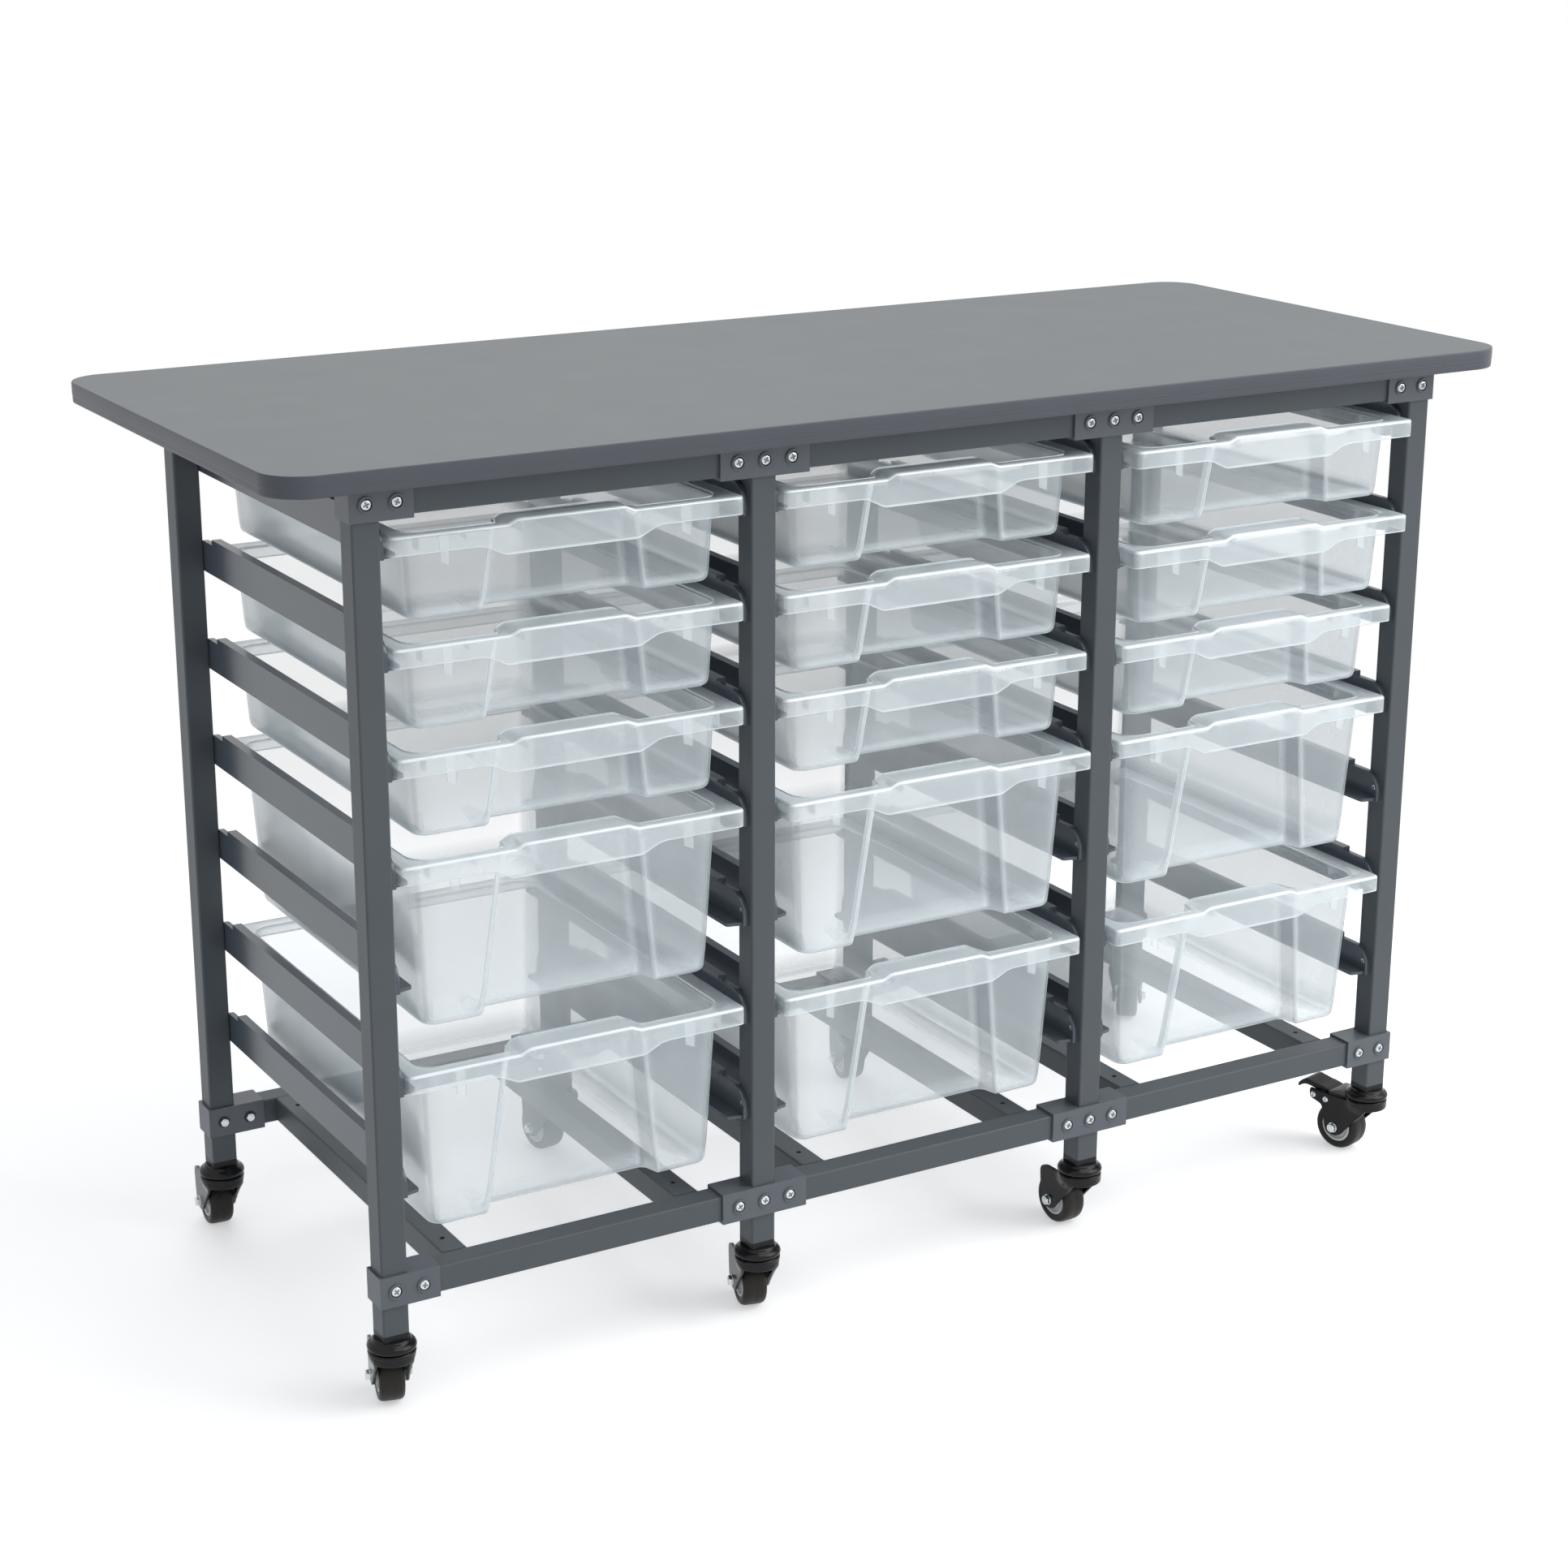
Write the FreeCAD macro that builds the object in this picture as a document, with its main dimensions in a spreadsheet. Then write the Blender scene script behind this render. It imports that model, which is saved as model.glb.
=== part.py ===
import FreeCAD, Part
import os
import re
import Sketcher
from FreeCAD import Rotation, Vector

# Mobile storage cart, millimetres. +Z is up, the front faces -Y, and the origin is
# on the floor under the middle of the worktop.

doc = FreeCAD.newDocument("storage_cart")
sheet = doc.addObject("Spreadsheet::Sheet", "sizes")
sheet.Label = "driving dimensions"

# Driving dimensions

SIZES = [
    # worktop
    ("worktop_wide", 1300.0, "worktop, left to right"),
    ("worktop_deep", 540.0, "worktop, front to back"),
    ("worktop_thick", 19.0, "worktop board"),
    ("worktop_corner", 38.0, "plan radius of the worktop corners"),
    ("band_thick", 1.0, "edge band round the board"),
    ("front_overhang", 28.0, "worktop edge in front of the frame"),
    # frame of square tube
    ("bay_pitch", 375.0, "post to post, one bay"),
    ("frame_deep", 452.0, "front post face to rear post face"),
    ("tube_side", 25.0, "square tube, outside"),
    ("tube_wall", 1.2, "square tube, wall"),
    ("tube_corner", 2.0, "square tube, outside corner radius"),
    ("post_base", 82.5, "lower end of the posts above the floor"),
    ("post_long", 762.0, "posts"),
    ("rail_lift", 31.0, "bottom rails above the lower end of the posts"),
    ("cross_inset", 69.0, "cross rail centre from the post centre"),
    ("cross_hole", 2.5, "radius of the cross rail holes"),
    ("cross_hole_inset", 52.0, "cross rail hole from the frame's outer face"),
    # moulded connectors over the joints
    ("sleeve_wall", 2.5, "connector wall outside the tubes"),
    ("sleeve_arm", 45.0, "connector arm along a rail, from the post centre"),
    ("sleeve_end_arm", 42.5, "the same on an end connector"),
    ("sleeve_screw", 27.1, "rail screw from the post centre"),
    ("boss_radius", 7.0, "round boss round each screw"),
    ("boss_high", 1.5, "boss in front of the connector's face"),
    ("boss_bore", 5.3, "radius of the sunk seat in the boss"),
    ("boss_sink", 2.2, "depth of the sunk seat"),
    ("bolt_shank", 2.5, "connector screw shank radius"),
    ("bolt_gap", 0.1, "radial clearance round a screw shank"),
    ("bolt_head", 4.5, "connector screw head radius"),
    ("bolt_head_high", 2.0, "connector screw head"),
    ("nut_flats", 8.0, "connector nut, across flats"),
    ("nut_high", 4.0, "connector nut"),
    ("thread_gap", 0.03, "radial gap in a thread"),
    # runners
    ("level_top", 785.0, "shelf of the top runners above the floor"),
    ("level_pitch", 95.5, "runner to runner"),
    ("levels", 7.0, "runner levels in a bay"),
    ("runner_high", 29.3, "runner, height"),
    ("runner_wall", 3.0, "runner web and shelf"),
    ("runner_shelf", 19.5, "shelf, inward from the post"),
    ("runner_gap", 6.0, "runner end behind the post's outer face"),
    ("runner_rim", 5.5, "raised rim round the web, from the post"),
    ("runner_rim_thick", 2.5, "thickness of that rim"),
    ("runner_round", 20.0, "rounded upper corners of the web"),
    ("shelf_cut", 4.5, "slant of the shelf's ends"),
    ("lip_reach", 9.0, "anti-tip lip, inward from the post"),
    ("lip_rise", 5.0, "anti-tip lip above the web"),
    ("lip_start", 42.0, "lip from each runner end"),
    ("runner_screw_up", 13.3, "runner screw above the runner's underside"),
    ("screw_shank", 1.75, "runner screw shank radius"),
    ("screw_gap", 0.05, "clearance round a runner screw"),
    ("screw_head", 3.2, "runner screw head radius"),
    ("screw_head_high", 1.8, "runner screw head"),
    ("screw_long", 7.0, "runner screw shank"),
    # bins
    ("rim_wide", 335.0, "bin rim, left to right"),
    ("rim_deep", 442.0, "bin rim, front to back"),
    ("rim_corner", 5.5, "bin rim corner radius"),
    ("rim_front", 2.0, "closed bin's rim in front of the posts"),
    ("skirt_high", 16.8, "skirt under the rim's top face"),
    ("slide_gap", 0.2, "skirt above the runner shelf"),
    ("bin_wall", 2.0, "bin wall"),
    ("bin_wide", 302.0, "bin body at the rim"),
    ("bin_front", 13.0, "front wall behind the rim's front"),
    ("bin_rear", 18.0, "rear wall in front of the rim's rear"),
    ("bin_corner", 20.0, "bin body corner radius at the rim"),
    ("bin_base_corner", 15.0, "bin body corner radius at the base"),
    ("shallow_deep", 77.5, "shallow bin, rim top to base"),
    ("shallow_taper", 5.0, "shallow bin, draw-in of each side"),
    ("shallow_recess", 76.0, "half width of its hand recess at the base"),
    ("deep_deep", 158.0, "deep bin, rim top to base"),
    ("deep_taper", 9.0, "deep bin, draw-in of each side"),
    ("deep_recess", 85.0, "half width of its hand recess at the base"),
    ("recess_top", 65.5, "half width of the hand recess at the rim"),
    ("recess_slant", 5.5, "draw-in of the recess side walls"),
    ("recess_sink", 19.0, "recess panel behind the front wall"),
    ("recess_corner", 5.0, "corner radius of the recess"),
    ("grip_half", 62.0, "half width of the lowered grip"),
    ("grip_slope", 22.0, "length of its sloping shoulders"),
    ("grip_drop", 9.0, "grip below the skirt"),
    ("crest_half", 50.0, "half width of the raised crest"),
    ("crest_slope", 12.0, "length of its sloping shoulders"),
    ("crest_rise", 4.0, "crest above the rim"),
    ("tab_place", 113.0, "small tab from the bin's middle"),
    ("tab_wide", 11.0, "small tab"),
    ("tab_drop", 11.0, "small tab below the skirt"),
    # worktop screws
    ("top_screw_shank", 2.2, "worktop screw shank radius"),
    ("top_screw_bite", 12.0, "worktop screw into the board"),
    ("top_screw_head", 4.5, "worktop screw head radius"),
    ("top_screw_head_high", 2.2, "worktop screw head"),
    # casters
    ("insert_collar", 6.0, "collar of the leg insert under the post"),
    ("insert_plug", 30.0, "plug of the leg insert inside the post"),
    ("insert_gap", 0.1, "gap round the plug"),
    ("stem_radius", 5.5, "caster stem"),
    ("stem_gap", 0.05, "gap round the stem"),
    ("stem_long", 26.0, "stem above the collar's underside"),
    ("cap_top", 15.0, "upper radius of the bearing cap"),
    ("cap_radius", 22.5, "widest radius of the bearing cap"),
    ("cap_base", 20.0, "lower radius of the bearing cap"),
    ("cap_high", 10.7, "bearing cap"),
    ("cap_shoulder", 3.5, "cap's widest line above its lower face"),
    ("swivel_gap", 0.3, "cap to crown"),
    ("king_radius", 4.0, "kingpin"),
    ("pivot_gap", 0.06, "running clearance of a pivot"),
    ("king_head", 7.0, "kingpin head radius"),
    ("king_head_high", 2.5, "kingpin head"),
    ("crown_radius", 22.0, "fork crown"),
    ("crown_thick", 5.0, "fork crown"),
    ("apron_low", 54.0, "lower edge of the crown's front apron"),
    ("plate_inner", 14.0, "fork plate from the wheel's middle plane"),
    ("plate_thick", 3.0, "fork plate"),
    ("trail", 28.7, "axle behind the stem"),
    ("wheel_radius", 25.4, "wheel"),
    ("tyre_half", 12.0, "half width of the tyre"),
    ("tyre_round", 7.0, "rounding of the tyre's shoulders"),
    ("hub_radius", 17.0, "hub"),
    ("hub_half", 11.0, "half width of the hub's rim"),
    ("hub_boss", 6.5, "hub boss radius"),
    ("hub_boss_half", 13.4, "half width of the hub boss"),
    ("hub_web", 7.0, "half width of the hub web"),
    ("hub_rim", 2.5, "thickness of the hub's rim"),
    ("hub_gap", 0.03, "tyre round the hub"),
    ("axle_radius", 3.0, "axle bolt"),
    ("axle_reach", 21.8, "outer face of bolt head and nut"),
    ("axle_flats", 9.0, "axle bolt and nut, across flats"),
    ("axle_boss", 9.0, "rounded lower end of the fork plate"),
    # brake pedal
    ("brake_pin_out", 39.6, "pedal rivet behind the stem"),
    ("brake_pin_up", 54.7, "pedal rivet above the floor"),
    ("brake_pin", 2.3, "pedal rivet radius"),
    ("brake_head", 4.0, "pedal rivet head radius"),
    ("brake_head_high", 1.5, "pedal rivet head"),
    ("stop_out", 55.5, "second rivet behind the stem"),
    ("stop_up", 56.0, "second rivet above the floor"),
    ("pedal_half", 13.6, "half width of the pedal"),
    ("pedal_lug", 3.0, "thickness of the pedal's lugs"),
    ("pedal_tip", 80.0, "pedal tip behind the stem"),
    # direction in which each caster trails, degrees from +X
    ("trail_front_1", 74.8, "front casters, left to right"),
    ("trail_front_2", 75.2, ""),
    ("trail_front_3", 91.7, ""),
    ("trail_front_4", 105.1, ""),
    ("trail_rear_1", 85.5, "rear casters, left to right"),
    ("trail_rear_2", 98.0, ""),
    ("trail_rear_3", 80.0, ""),
    ("trail_rear_4", 50.0, ""),
    # how far each bin stands open
    ("open_2_4", 12.0, "bay 2, level 4"),
    ("open_2_6", 4.0, "bay 2, level 6"),
    ("open_3_1", 14.0, "bay 3, level 1"),
    ("open_3_2", 15.0, "bay 3, level 2"),
    ("open_3_6", 7.0, "bay 3, level 6"),
]

# Places that follow from the driving dimensions

PLACES = {
    "front_face": "(front_overhang - worktop_deep / 2)",
    "rear_face": "(front_face + frame_deep)",
    "front_line": "(front_face + tube_side / 2)",
    "rear_line": "(rear_face - tube_side / 2)",
    "frame_middle": "(front_face + frame_deep / 2)",
    "post_top": "(post_base + post_long)",
    "board_base": "(post_top + sleeve_wall)",
    "low_rail": "(post_base + rail_lift + tube_side / 2)",
    "high_rail": "(post_top - tube_side / 2)",
    "sleeve_half": "(tube_side / 2 + sleeve_wall)",
    "tube_inside": "(tube_side - 2 * tube_wall)",
    "rail_long": "(bay_pitch - tube_side)",
    "cross_long": "(frame_deep - 2 * tube_side)",
    "cross_hole_place": "(frame_deep / 2 - cross_hole_inset)",
    "shank_hole": "(bolt_shank + bolt_gap)",
    "boss_face": "(sleeve_half + boss_high)",
    "runner_long": "(frame_deep - 2 * runner_gap)",
    "runner_screw_place": "(tube_side / 2 - runner_gap)",
    "screw_hole": "(screw_shank + screw_gap)",
    "rim_half": "(rim_wide / 2)",
    "collar_base": "(post_base - insert_collar)",
    "cap_foot": "(collar_base - cap_high)",
    "crown_top": "(cap_foot - swivel_gap)",
    "crown_base": "(crown_top - crown_thick)",
    "plate_outer": "(plate_inner + plate_thick)",
    "axle_hole": "(axle_radius + pivot_gap)",
    "brake_hole": "(brake_pin + pivot_gap)",
}


def expanded(text):
    """The text with every derived place written out in driving dimensions."""
    found = re.search(r"\b(" + "|".join(PLACES) + r")\b", text)
    while found:
        text = text[:found.start()] + PLACES[found.group(1)] + text[found.end():]
        found = re.search(r"\b(" + "|".join(PLACES) + r")\b", text)
    return text


def bound(text):
    """The text as an expression on the sheet's aliases."""
    names = "|".join(alias for alias, _, _ in SIZES)
    return re.sub(r"\b(" + names + r")\b", r"sizes.\1", expanded(text))


def number(text):
    """The present value of the text."""
    return float(sheet.evalExpression(bound(text)))


def fill_sheet():
    """Alias, value and note of every driving dimension, one row each."""
    for row, (alias, value, note) in enumerate(SIZES, 1):
        sheet.set("A" + str(row), alias)
        sheet.set("B" + str(row), str(value))
        sheet.set("C" + str(row), note)
        sheet.setAlias("B" + str(row), alias)
    doc.recompute()


def place(item, at, axis=Vector(0, 0, 1), angle="0"):
    """Put an object at three expressions, turned by an expression in degrees."""
    item.Placement = FreeCAD.Placement(Vector(), Rotation(axis, number(angle)))
    for letter, text in zip("xyz", at):
        item.setExpression("Placement.Base." + letter, bound(text))
    if angle != "0":
        item.setExpression("Placement.Rotation.Angle", bound(angle))
    return item


def box(name, low, lengths):
    """A block from its low corner and three lengths."""
    item = doc.addObject("Part::Box", name)
    for side, text in zip(("Length", "Width", "Height"), lengths):
        item.setExpression(side, bound(text))
    return place(item, low)


TO_FRONT = Vector(1, 0, 0)
TO_SIDE = Vector(0, 1, 0)


def rod(name, at, radius, length, axis="Z"):
    """A round rod that starts at a point and runs along +X, +Z or -Y."""
    item = doc.addObject("Part::Cylinder", name)
    item.setExpression("Radius", bound(radius))
    item.setExpression("Height", bound(length))
    if axis == "X":
        return place(item, at, TO_SIDE, "90")
    if axis == "Y":
        return place(item, at, TO_FRONT, "90")
    return place(item, at)


def hexagon(name, at, flats, length):
    """A hexagonal prism that starts at a point and runs along -Y."""
    item = doc.addObject("Part::Prism", name)
    item.Polygon = 6
    item.setExpression("Circumradius", bound("(" + flats + ") / sqrt(3)"))
    item.setExpression("Height", bound(length))
    return place(item, at, TO_FRONT, "90")


def fused(name, items):
    """One solid from several that meet."""
    item = doc.addObject("Part::MultiFuse", name)
    item.Shapes = items
    item.Refine = True
    return item


def group(name, items):
    """Separate solids kept as one object."""
    item = doc.addObject("Part::Compound", name)
    item.Links = items
    return item


def cut(name, base, tools):
    """The base without the tools."""
    item = doc.addObject("Part::Cut", name)
    item.Base = base
    item.Tool = tools[0] if len(tools) == 1 else group(name + "_tools", tools)
    return item


def copy(name, master, at, angle="0", axis=Vector(0, 0, 1)):
    """The master again, at another place."""
    item = doc.addObject("App::Link", name)
    item.LinkedObject = master
    return place(item, at, axis, angle)


# Sketches and bodies

def new_body(name):
    """An empty body."""
    return doc.addObject("PartDesign::Body", name)


def outline(sketch, corners):
    """A closed loop of lines through corners (x, y, radius), each corner rounded."""
    start = sketch.GeometryCount
    count = len(corners)
    points = [(number(x), number(y)) for x, y, _ in corners]
    for index, point in enumerate(points):
        following = points[(index + 1) % count]
        line = Part.LineSegment(Vector(*point, 0), Vector(*following, 0))
        sketch.addGeometry(line, False)
    for index in range(count):
        following = start + (index + 1) % count
        sketch.addConstraint(Sketcher.Constraint("Coincident", start + index, 2, following, 1))
    for index, (x, y, _) in enumerate(corners):
        for kind, text in (("DistanceX", x), ("DistanceY", y)):
            rule = Sketcher.Constraint(kind, -1, 1, start + index, 1, number(text))
            which = sketch.addConstraint(rule)
            sketch.setExpression("Constraints[%d]" % which, bound(text))
    for index, (_, _, radius) in enumerate(corners):
        if radius != "0":
            arc = sketch.GeometryCount
            sketch.fillet(start + index, 1, number(radius), True, True)
            which = sketch.addConstraint(Sketcher.Constraint("Radius", arc, number(radius)))
            sketch.setExpression("Constraints[%d]" % which, bound(radius))


def new_sketch(body, plane, loops, lift="0"):
    """A sketch of closed loops on one of the body's own planes, lifted along its normal."""
    sketch = body.newObject("Sketcher::SketchObject", body.Name + "_sketch")
    origin = [item for item in body.Origin.OriginFeatures if item.Role == plane]
    sketch.AttachmentSupport = [(origin[0], "")]
    sketch.MapMode = "FlatFace"
    sketch.setExpression("AttachmentOffset.Base.z", bound(lift))
    for loop in loops:
        outline(sketch, loop)
    return sketch


def solid(body, kind, sketch, length, back=False):
    """A pad or a pocket of a sketch."""
    feature = body.newObject("PartDesign::" + kind, body.Name + "_" + kind.lower())
    feature.Profile = sketch
    feature.setExpression("Length", bound(length))
    feature.Reversed = back
    sketch.Visibility = False
    return feature


def loft(body, kind, first, second):
    """A straight-sided additive or subtractive loft between two sketches."""
    feature = body.newObject("PartDesign::" + kind, body.Name + "_loft")
    feature.Profile = first
    feature.Sections = [second]
    feature.Ruled = True
    return feature


def turned(body, sketch):
    """A full revolution about the sketch's own upright axis."""
    feature = body.newObject("PartDesign::Revolution", body.Name + "_turned")
    feature.Profile = sketch
    feature.ReferenceAxis = (sketch, ["V_Axis"])
    feature.Angle = 360.0
    return feature


def rectangle(half_x, half_y, radius="0"):
    """Corners of a rectangle about the origin."""
    return [
        ("-(" + half_x + ")", "-(" + half_y + ")", radius),
        (half_x, "-(" + half_y + ")", radius),
        (half_x, half_y, radius),
        ("-(" + half_x + ")", half_y, radius),
    ]


fill_sheet()

# The four post lines and the three bays, in multiples of the bay pitch

POST_LINES = {1: "(-1.5 * bay_pitch)", 2: "(-0.5 * bay_pitch)",
              3: "(0.5 * bay_pitch)", 4: "(1.5 * bay_pitch)"}
BAYS = {1: "(-1 * bay_pitch)", 2: "(0 * bay_pitch)", 3: "(1 * bay_pitch)"}
LEVELS = range(1, int(number("levels")) + 1)


def level_place(level):
    """Upper face of the runner shelf of a level."""
    return "(level_top - %d * level_pitch)" % (level - 1)


# Square tube and what is cut into it

def tube(name, length):
    """A hollow square tube upright from the origin."""
    body = new_body(name)
    inner = "tube_side / 2 - tube_wall"
    loops = [rectangle("tube_side / 2", "tube_side / 2", "tube_corner"),
             rectangle(inner, inner, "tube_corner - tube_wall")]
    solid(body, "Pad", new_sketch(body, "XY_Plane", loops), length)
    return body


def post(name, left_wall, right_wall):
    """A post with its connector screw holes and the runner screw holes of one or both walls."""
    stock = tube(name + "_tube", "post_long")
    tools = []
    for end, up in (("low", "low_rail - post_base"), ("high", "high_rail - post_base")):
        at = ("0", "tube_side", up)
        tools.append(rod(name + "_bolt_hole_" + end, at, "shank_hole", "2 * tube_side", "Y"))
    for level in LEVELS:
        up = level_place(level) + " - runner_wall + runner_screw_up - post_base"
        for wanted, start in ((left_wall, "-tube_side"), (right_wall, "0")):
            if wanted:
                at = (start, "0", up)
                tools.append(rod(name + "_screw_hole", at, "screw_hole", "tube_side", "X"))
    return cut(name, stock, tools)


left_post = post("left_post", False, True)
middle_post = post("middle_post", True, True)
right_post = post("right_post", True, False)
POSTS = {1: left_post, 2: middle_post, 3: middle_post, 4: right_post}
for row, line in (("front", "front_line"), ("rear", "rear_line")):
    copies = []
    for index, across in POST_LINES.items():
        name = "%s_post_%d" % (row, index)
        copies.append(copy(name, POSTS[index], (across, line, "post_base")))
    group(row + "_posts", copies)

rail_stock = tube("rail_tube", "rail_long")
rail_holes = []
for up in ("sleeve_screw - tube_side / 2", "rail_long + tube_side / 2 - sleeve_screw"):
    rail_holes.append(rod("rail_hole", ("0", "tube_side", up), "shank_hole", "2 * tube_side", "Y"))
rail = cut("rail", rail_stock, rail_holes)
for name, up in (("bottom_rails", "low_rail"), ("top_rails", "high_rail")):
    copies = []
    for bay, across in BAYS.items():
        for line in ("front_line", "rear_line"):
            at = (across + " - rail_long / 2", line, up)
            copies.append(copy(name + "_copy", rail, at, "90", TO_SIDE))
    group(name, copies)

cross_stock = tube("cross_tube", "cross_long")
cross_holes = []
for sign in ("-", "+"):
    at = ("-tube_side", "0", "cross_long / 2 " + sign + " cross_hole_place")
    cross_holes.append(rod("cross_hole", at, "cross_hole", "2 * tube_side", "X"))
cross_turned = cut("cross_rail_upright", cross_stock, cross_holes)
cross_rail = copy("cross_rail", cross_turned, ("0", "0", "0"), "90")
cross_shell = group("cross_rail_shell", [cross_rail])
CROSS_PLACES = []
for bay, across in BAYS.items():
    for sign in ("-", "+"):
        CROSS_PLACES.append(across + " " + sign + " (bay_pitch / 2 - cross_inset)")
for name, up in (("bottom_cross_rails", "low_rail"), ("top_cross_rails", "high_rail")):
    copies = []
    for across in CROSS_PLACES:
        at = (across, "frame_middle + cross_long / 2", up)
        copies.append(copy(name + "_copy", cross_shell, at, "90", TO_FRONT))
    group(name, copies)


# Connectors: a sleeve over the rails with a socket for the post

def sleeve(name, left, right, screws, capped):
    """A connector about the crossing of post and rails, heads towards -Y."""
    long = "(" + left + ") + (" + right + ")"
    block = box(name + "_block", ("-(" + left + ")", "-sleeve_half", "-sleeve_half"),
                (long, "2 * sleeve_half", "2 * sleeve_half"))
    shell = [block]
    tools = []
    half = "tube_side / 2"
    # An arm is open where a rail runs into it, and an end connector closes its outer side
    start = half if left == "sleeve_half" else left
    stop = half if right == "sleeve_half" else right
    tools.append(box(name + "_rail_way", ("-(" + start + ")", "-" + half, "-" + half),
                     ("(" + start + ") + (" + stop + ")", "tube_side", "tube_side")))
    tall = "sleeve_half + " + half if capped else "2 * sleeve_half"
    tools.append(box(name + "_post_way", ("-" + half, "-" + half, "-sleeve_half"),
                     ("tube_side", "tube_side", tall)))
    for place_x in screws:
        shell.append(rod(name + "_boss", (place_x, "-" + half, "0"),
                         "boss_radius", "boss_face - " + half, "Y"))
        tools.append(rod(name + "_seat", (place_x, "boss_sink - boss_face", "0"),
                         "boss_bore", "boss_sink", "Y"))
        tools.append(rod(name + "_hole", (place_x, "2 * sleeve_half", "0"),
                         "shank_hole", "4 * sleeve_half", "Y"))
    return cut(name, fused(name + "_shell", shell), tools)


MIDDLE = ("sleeve_arm", "sleeve_arm", ("-sleeve_screw", "0 * sleeve_screw", "sleeve_screw"))
LEFT = ("sleeve_half", "sleeve_end_arm", ("0 * sleeve_screw", "sleeve_screw"))
RIGHT = ("sleeve_end_arm", "sleeve_half", ("-sleeve_screw", "0 * sleeve_screw"))
KINDS = {"middle": MIDDLE, "left": LEFT, "right": RIGHT}
sleeves = {}
for kind, (left, right, screws) in KINDS.items():
    for capped in (False, True):
        name = kind + ("_top" if capped else "_bottom") + "_sleeve"
        sleeves[kind, capped] = sleeve(name, left, right, screws, capped)

bolt = fused("bolt", [
    rod("bolt_shank_rod", ("0", "sleeve_half + 1.2 * nut_high", "0"), "bolt_shank",
        "sleeve_half + 1.2 * nut_high + boss_face - boss_sink + bolt_head_high / 2", "Y"),
    rod("bolt_head_disc", ("0", "boss_sink - boss_face", "0"), "bolt_head",
        "bolt_head_high", "Y"),
])
nut = cut("nut", hexagon("nut_block", ("0", "sleeve_half + nut_high", "0"),
                         "nut_flats", "nut_high"),
          [rod("nut_hole", ("0", "sleeve_half + 2 * nut_high", "0"),
               "bolt_shank + thread_gap", "3 * nut_high", "Y")])

corner_sleeves = []
middle_sleeves = []
bolts = []
nuts = []
FACING = {"left": "right", "right": "left", "middle": "middle"}
for index, across in POST_LINES.items():
    kind = {1: "left", 4: "right"}.get(index, "middle")
    for line, angle in (("front_line", "0"), ("rear_line", "180")):
        own = kind if angle == "0" else FACING[kind]
        sign = "+" if angle == "0" else "-"
        for up, capped in (("low_rail", False), ("high_rail", True)):
            target = middle_sleeves if kind == "middle" else corner_sleeves
            at = (across, line, up)
            target.append(copy("sleeve_copy", sleeves[own, capped], at, angle))
            for screw in KINDS[own][2]:
                at = (across + " " + sign + " (" + screw + ")", line, up)
                bolts.append(copy("bolt_copy", bolt, at, angle))
                nuts.append(copy("nut_copy", nut, at, angle))
group("corner_connectors", corner_sleeves)
group("middle_connectors", middle_sleeves)
group("connector_screws", bolts)
group("connector_nuts", nuts)


# Runners

def runner(name, hand):
    """A runner on the left (hand 1) or right (hand -1) post of a bay, from its front end."""
    body = new_body(name)
    sign = "" if hand == 1 else "-"
    back = hand == -1
    low = "0 * runner_wall"
    outer = [(low, low, "0"), ("runner_long", low, "0"),
             ("runner_long", "runner_high", "runner_round"),
             (low, "runner_high", "runner_round")]
    solid(body, "Pad", new_sketch(body, "YZ_Plane", [outer]), "runner_rim", back)
    rim = "runner_rim_thick"
    inner = [(rim, "runner_wall", "0"), ("runner_long - " + rim, "runner_wall", "0"),
             ("runner_long - " + rim, "runner_high - " + rim, "runner_round - " + rim),
             (rim, "runner_high - " + rim, "runner_round - " + rim)]
    lift = sign + "runner_rim"
    pocket = solid(body, "Pocket", new_sketch(body, "YZ_Plane", [inner], lift),
                   "runner_rim - runner_wall", back)
    shelf = [(low, "shelf_cut / 2", "0"), (sign + "runner_shelf", "shelf_cut * 1.5", "3"),
             (sign + "runner_shelf", "runner_long - shelf_cut * 1.5", "3"),
             (low, "runner_long - shelf_cut / 2", "0")]
    solid(body, "Pad", new_sketch(body, "XY_Plane", [shelf]), "runner_wall")
    foot = "runner_high - runner_rim_thick"
    head = "runner_high + lip_rise"
    lip = [(low, foot, "0"), (sign + "runner_rim", foot, "0"),
           (sign + "runner_rim", head + " - runner_wall", "0"),
           (sign + "lip_reach", head + " - runner_wall", "0"),
           (sign + "lip_reach", head, "0"), (low, head, "0")]
    solid(body, "Pad", new_sketch(body, "XZ_Plane", [lip], "-lip_start"),
          "runner_long - 2 * lip_start", True)
    holes = []
    for along in ("runner_screw_place", "runner_long - runner_screw_place"):
        holes.append(rod(name + "_hole", ("-tube_side", along, "runner_screw_up"),
                         "screw_hole", "2 * tube_side", "X"))
    return cut(name + "_drilled", body, holes)


def screw(name, hand):
    """A runner screw from the web's inner face into the post's wall."""
    start = "runner_wall - screw_long" if hand == 1 else "-runner_wall - screw_head_high / 2"
    head = "runner_wall" if hand == 1 else "-runner_wall - screw_head_high"
    return fused(name, [
        rod(name + "_shank", (start, "0", "0"), "screw_shank",
            "screw_long + screw_head_high / 2", "X"),
        rod(name + "_head", (head, "0", "0"), "screw_head", "screw_head_high", "X"),
    ])


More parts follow.
